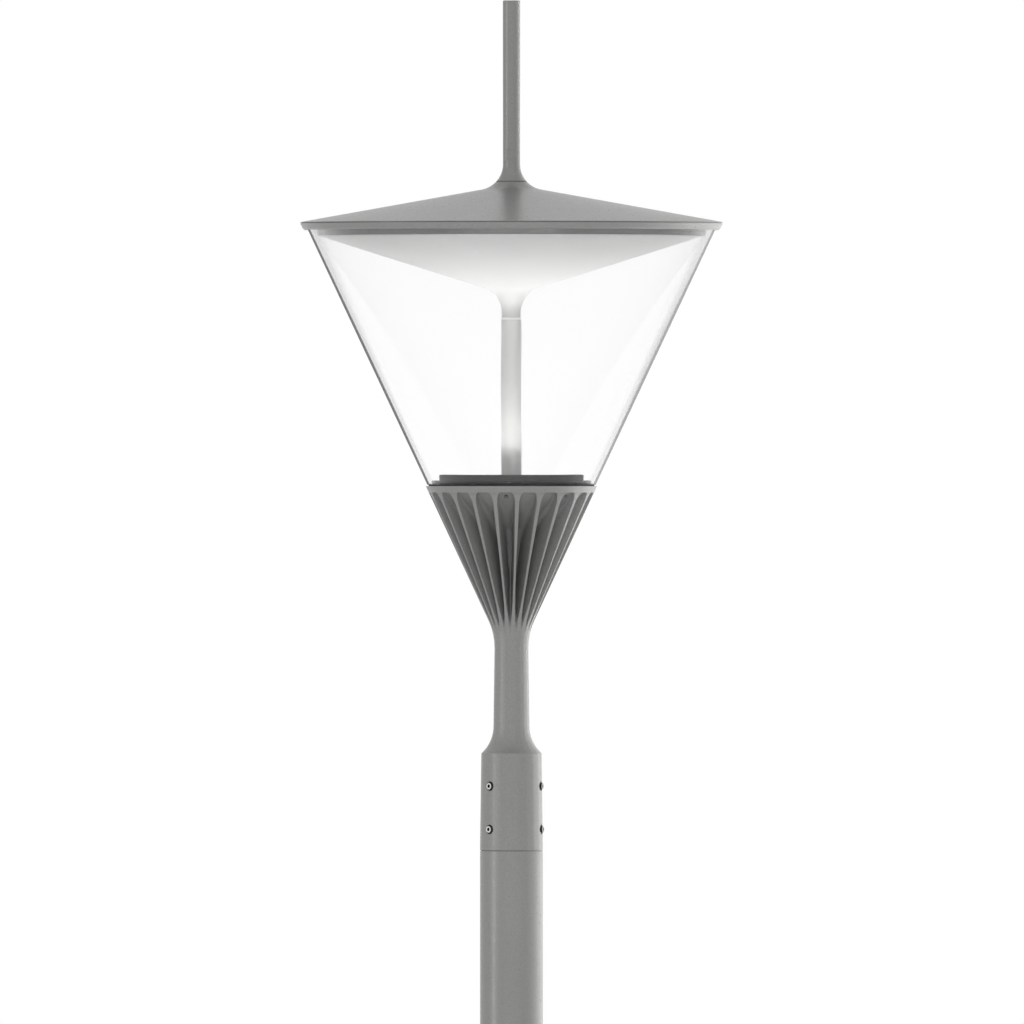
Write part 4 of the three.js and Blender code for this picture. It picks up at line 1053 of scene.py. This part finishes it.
def make_door():
    inside = TUBE_RADIUS - TUBE_WALL
    skin = ring("door_skin", inside, TUBE_RADIUS, DOOR_BOTTOM - 20, DOOR_TOP + 20, 0.3, 0, 192)
    boolean(skin, "INTERSECT", [slot_tool(DOOR_HALF_WIDTH - 1, DOOR_BOTTOM + 1, DOOR_TOP - 1, 11)])
    hole = rod("tool", 9.3, 20, 80, 0.1, 0, 48)
    boolean(skin, "DIFFERENCE", [outwards(hole, 0, LOCK_HEIGHT * MM)])
    bridge = box("bridge", (-14, -53.6, DOOR_BOTTOM + 10), (14, -40.8, DOOR_BOTTOM + 28))
    tongue = box("tongue", (-14, -42.8, DOOR_BOTTOM - 14), (14, -39.8, DOOR_BOTTOM + 28))
    for piece in (bridge, tongue):
        boolean(skin, "UNION", [piece])
    finish(skin, "door", COLUMN_PAINT, "column_paint", ["door_panel"], bevel=0.5)


def make_door_frame():
    outer = TUBE_RADIUS - 4.4
    band = ring("door_backing", outer - 6, outer, DOOR_BOTTOM - 22, DOOR_TOP + 22, 0.3, 0, 192)
    boolean(band, "INTERSECT", [box("tool", (-80, -80, 400), (80, -14, 1000))])
    boolean(band, "DIFFERENCE", [slot_tool(DOOR_HALF_WIDTH - 5, DOOR_BOTTOM + 5, DOOR_TOP - 5, 8)])
    on_column(band, "door_frame", bevel=0.4)


def make_lock():
    """Barrel with a sunk three-sided key stud outside, and the cam inside."""
    face = TUBE_RADIUS + 0.8
    outline = [(0, 48), (9, 48, 0.3), (9, face, 0.6), (7, face, 0.3), (7, face - 5), (0, face - 5)]
    barrel = lathe("barrel", rounded(outline), 0, 64)
    triangle = rounded([(*corner, 0.7) for corner in polygon(4.6, 3, math.pi / 2)])
    key = moved(prism("key", triangle, 5), 0, 0, (face - 5.5) * MM)
    neck = rod("neck", 6, 40.6, 48.6, 0.2, 0, 32)
    pieces = [outwards(piece, 0, LOCK_HEIGHT * MM) for piece in (barrel, key, neck)]
    cam = box("cam", (-6, -43.6, LOCK_HEIGHT - 4), (17, -40.6, LOCK_HEIGHT + 4))
    lock = pieces[0]
    for piece in (*pieces[1:], cam):
        boolean(lock, "UNION", [piece])
    lock.name = "door_lock_barrel"
    finish(lock, "lock", STAINLESS, "stainless", ["door_lock"], bevel=0.25)


def make_base():
    half = PLATE_SIDE / 2
    plate = prism("foundation_plate", rectangle(half, half, 20, 8), 15)
    tools = [rod("tool", 40, -5, 30, 0.1, 0, 96)]
    for x in (-ANCHOR_OFFSET, ANCHOR_OFFSET):
        for y in (-ANCHOR_OFFSET, ANCHOR_OFFSET):
            tools.append(moved(rod("tool", 9.5, -5, 30, 0.1, 0, 48), x, y, 0))
    boolean(plate, "DIFFERENCE", [joined("tools", tools)])
    on_column(plate, "base_plate", bevel=1.2, segments=3)
    weld_bead("base_weld", TUBE_RADIUS, 15.0, 6.0)
    weld_bead("shoulder_weld", TUBE_RADIUS - 1.6, TUBE_TOP - 0.8, 1.9)
    for number in range(1, 5):
        make_gusset(number)
        make_anchor(number)


def make_gusset(number):
    foot, inner = 15.3, TUBE_RADIUS + 0.3
    outline = rounded([(inner, foot), (125, foot), (125, foot + 10, 2), (inner + 12, 95, 3), (inner, 95)])
    plate = prism("gusset_plate", outline, 8)
    turn = Matrix.Rotation(math.pi / 2 * (number - 1), 4, "Z") @ Matrix.Rotation(math.pi / 2, 4, "X")
    plate.data.transform(turn @ Matrix.Translation((0, 0, -4 * MM)))
    plate.name = f"gusset_plate_{number}"
    on_column(plate, f"base_gusset_{number}", bevel=0.8)


def make_anchor(number):
    corner = math.radians(45 + 90 * (number - 1))
    reach = ANCHOR_OFFSET * math.sqrt(2)
    x, y = reach * math.cos(corner), reach * math.sin(corner)
    outline = [(0, 1), (7.2, 1), (8, 1.8), (8, 32)] + thread(8, 33, 56, 2) + [(7, 58), (0, 58)]
    stud = moved(lathe("anchor_bolt", outline, 0, 48), x, y, 0)
    stud.name = f"anchor_bolt_{number}"
    finish(stud, "column", ZINC, "zinc", [f"anchor_stud_{number}"])
    hexagon = moved(prism("hexagon_nut", polygon(13.9, 6, 0.3 * number), 13), 0, 0, 18.3 * MM)
    chamfer = [(0, 18.3), (12.6, 18.3), (13.9, 19.1), (13.9, 30.2), (12.2, 31.3), (0, 31.3)]
    boolean(hexagon, "INTERSECT", [lathe("tool", chamfer, 0, 64)])
    boolean(hexagon, "DIFFERENCE", [rod("tool", 8.3, 0, 60, 0.1, 0, 48)])
    washer = ring("washer", 8.3, 15, 15.3, 18.25, 0.4, 0, 64)
    nut = moved(joined("anchor_nut_and_washer", [hexagon, washer]), x, y, 0)
    nut.name = f"anchor_nut_and_washer_{number}"
    finish(nut, "column", ZINC, "zinc", [f"anchor_nut_{number}"])


def make_cable(name, points, radius, body, node):
    data = bpy.data.curves.new(name, "CURVE")
    data.dimensions = "3D"
    data.bevel_depth = radius * MM
    data.bevel_resolution = 4
    data.use_fill_caps = True
    spline = data.splines.new("NURBS")
    spline.points.add(len(points) - 1)
    for place, point in zip(spline.points, points):
        place.co = (*[c * MM for c in point], 1)
    spline.order_u = 4
    spline.use_endpoint_u = True
    curve = add_object(name, data)
    bpy.context.view_layer.update()
    mesh = bpy.data.meshes.new_from_object(curve)
    bpy.data.objects.remove(curve)
    piece = add_object(name, mesh)
    finish(piece, body, CABLE_JACKET, "black_plastic", [node])


def make_insides():
    for node in ("spigot", "backboard", "tie_rod", "tie_rod_nut", "canopy_spacer"):
        dress(node, ZINC)
    dress("fuse_box", LIGHT_PLASTIC, 1.5)
    dress("fuse_carrier", BLACK_PLASTIC, 0.8)
    dress("earth_stud", BRASS, 0.3)
    dress("led_driver", LIGHT_PLASTIC, 1.0)
    dress("terminal_block", BLACK_PLASTIC, 0.6)
    dress("cable_gland", BLACK_PLASTIC)
    box_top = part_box("fuse_box")[1].z / MM
    cable_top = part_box("supply_cable")[1].z / MM
    route = [(0, 25, box_top + 0.3), (0, 25, box_top + 30), (0, 24, 800), (0, 14, 900), (0, 4, 1000)]
    route += [(0, 0, 1120), (0, 0, 1700), (0, 0, 2400), (0, 0, cable_top)]
    make_cable("supply_cable_jacket", route, 5, "column", "supply_cable")
    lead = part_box("head_lead")
    heights = [lead[0].z / MM, (lead[0].z + lead[1].z) / 2 / MM, lead[1].z / MM]
    make_cable("head_lead_jacket", [(0, 0, h) for h in heights], 4.5, "head", "head_lead")


# ------ studio

FLOOR_REACH = 30000.0  # millimetres from the column's axis to the floor's edges
FLOOR_COLOUR = (0.52, 0.52, 0.52)
HORIZON_LIGHT = 0.62
ZENITH_LIGHT = 0.57
LED_SIZE = 0.012  # metres
LED_POWER = 0.016  # watts
LED_BEAM = 116  # degrees


def make_floor():
    """A pale floor that takes the object's shadow and fades to white away from it."""
    floor = box("floor", (-FLOOR_REACH, -FLOOR_REACH, -20), (FLOOR_REACH, FLOOR_REACH, -0.2))
    material, tree, principled = shader("floor")
    preset(principled, {"Base Color": (*FLOOR_COLOUR, 1), "Roughness": 0.9, "Specular IOR Level": 0})
    white = tree.nodes.new("ShaderNodeEmission")
    distance = tree.nodes.new("ShaderNodeVectorMath")
    distance.operation = "LENGTH"
    tree.links.new(coordinates(tree), distance.inputs[0])
    far = spread(tree, distance.outputs["Value"], 0.8, 6.0, 0.6, 1)
    blend = tree.nodes.new("ShaderNodeMixShader")
    tree.links.new(seen_directly(tree, far), blend.inputs["Fac"])
    tree.links.new(principled.outputs["BSDF"], blend.inputs[1])
    tree.links.new(white.outputs["Emission"], blend.inputs[2])
    tree.links.new(blend.outputs["Shader"], tree.nodes["Material Output"].inputs["Surface"])
    floor.data.materials.append(material)


def seen_directly(tree, camera_share=None):
    """1 where the camera sees this straight, in a reflection or through glass, else 0.

    The camera share, if given, is used in place of 1 for what the camera sees straight.
    """
    rays = tree.nodes.new("ShaderNodeLightPath").outputs
    straight = rays["Is Camera Ray"]
    if camera_share:
        straight = combined(tree, "MULTIPLY", straight, camera_share)
    by_gloss = combined(tree, "MAXIMUM", rays["Is Glossy Ray"], rays["Is Transmission Ray"])
    undiffused = spread(tree, rays["Diffuse Depth"], 0, 1, 1, 0)
    return combined(tree, "MAXIMUM", straight, combined(tree, "MULTIPLY", by_gloss, undiffused))


def make_world():
    world = bpy.data.worlds.new("studio")
    bpy.context.scene.world = world
    world.use_nodes = True
    tree = world.node_tree
    background = tree.nodes["Background"]
    preset(background, {"Color": (1, 1, 1, 1)})
    way = tree.nodes.new("ShaderNodeTexCoord").outputs["Generated"]
    direction = tree.nodes.new("ShaderNodeSeparateXYZ")
    tree.links.new(way, direction.inputs["Vector"])
    light = spread(tree, direction.outputs["Z"], 0.0, 0.9, HORIZON_LIGHT, ZENITH_LIGHT)
    tree.links.new(combined(tree, "MAXIMUM", light, seen_directly(tree)), background.inputs["Strength"])


def lamp(name, degrees, distance, height, width, tall, power, glossy=False, through_glass=False):
    """A softbox at an angle round the column, aimed at the head. Sizes in metres, power in watts."""
    data = bpy.data.lights.new(name, "AREA")
    data.shape = "RECTANGLE"
    data.size = width
    data.size_y = tall
    data.energy = power
    lamp_object = add_object(name, data)
    angle = math.radians(degrees)
    place = Vector((distance * math.sin(angle), -distance * math.cos(angle), height))
    lamp_object.location = place
    lamp_object.visible_glossy = glossy
    lamp_object.visible_transmission = through_glass
    target = Vector((0, 0, SEAM + 0.5))
    lamp_object.rotation_euler = (target - place).to_track_quat("-Z", "Y").to_euler()


def light_leds():
    """A faint beam up from each LED, which brightens the reflector towards its spout."""
    for i in range(LENS_COUNT):
        data = bpy.data.lights.new("led_glow", "AREA")
        data.size = LED_SIZE
        data.energy = LED_POWER
        data.spread = math.radians(LED_BEAM)
        glow = add_object(f"led_glow_{i + 1}", data)
        glow.location = (*on_circle(LENS_CIRCLE, 360 * i / LENS_COUNT), SEAM + (LED_PLATE_TOP + 1) * MM)
        glow.rotation_euler = (math.pi, 0, 0)
        glow.visible_camera = False
        glow.visible_glossy = False
        glow.visible_transmission = False


def make_studio():
    make_world()
    make_floor()
    lamp("rim_softbox", 126, 6.0, 3.0, 2.0, 4.0, 980)
    lamp("key_softbox", -68, 7.0, 3.4, 0.8, 4.5, 100, glossy=True)
    lamp("side_softbox", 70, 7.0, 2.8, 0.8, 4.5, 50)
    lamp("front_softbox", 3, 7.0, 2.6, 8.0, 0.9, 225, through_glass=True)
    light_leds()


# ------ build

make_camera()
make_housing()
make_set_screws()
make_led_plate()
make_led_board()
make_glass()
make_tube()
make_reflector()
make_canopy_ring()
make_canopy()
make_finial()
make_shaft()
make_shoulder()
make_base_tube()
make_door()
make_door_frame()
make_lock()
make_base()
make_insides()
make_studio()

bpy.context.scene.view_settings.view_transform = "Standard"
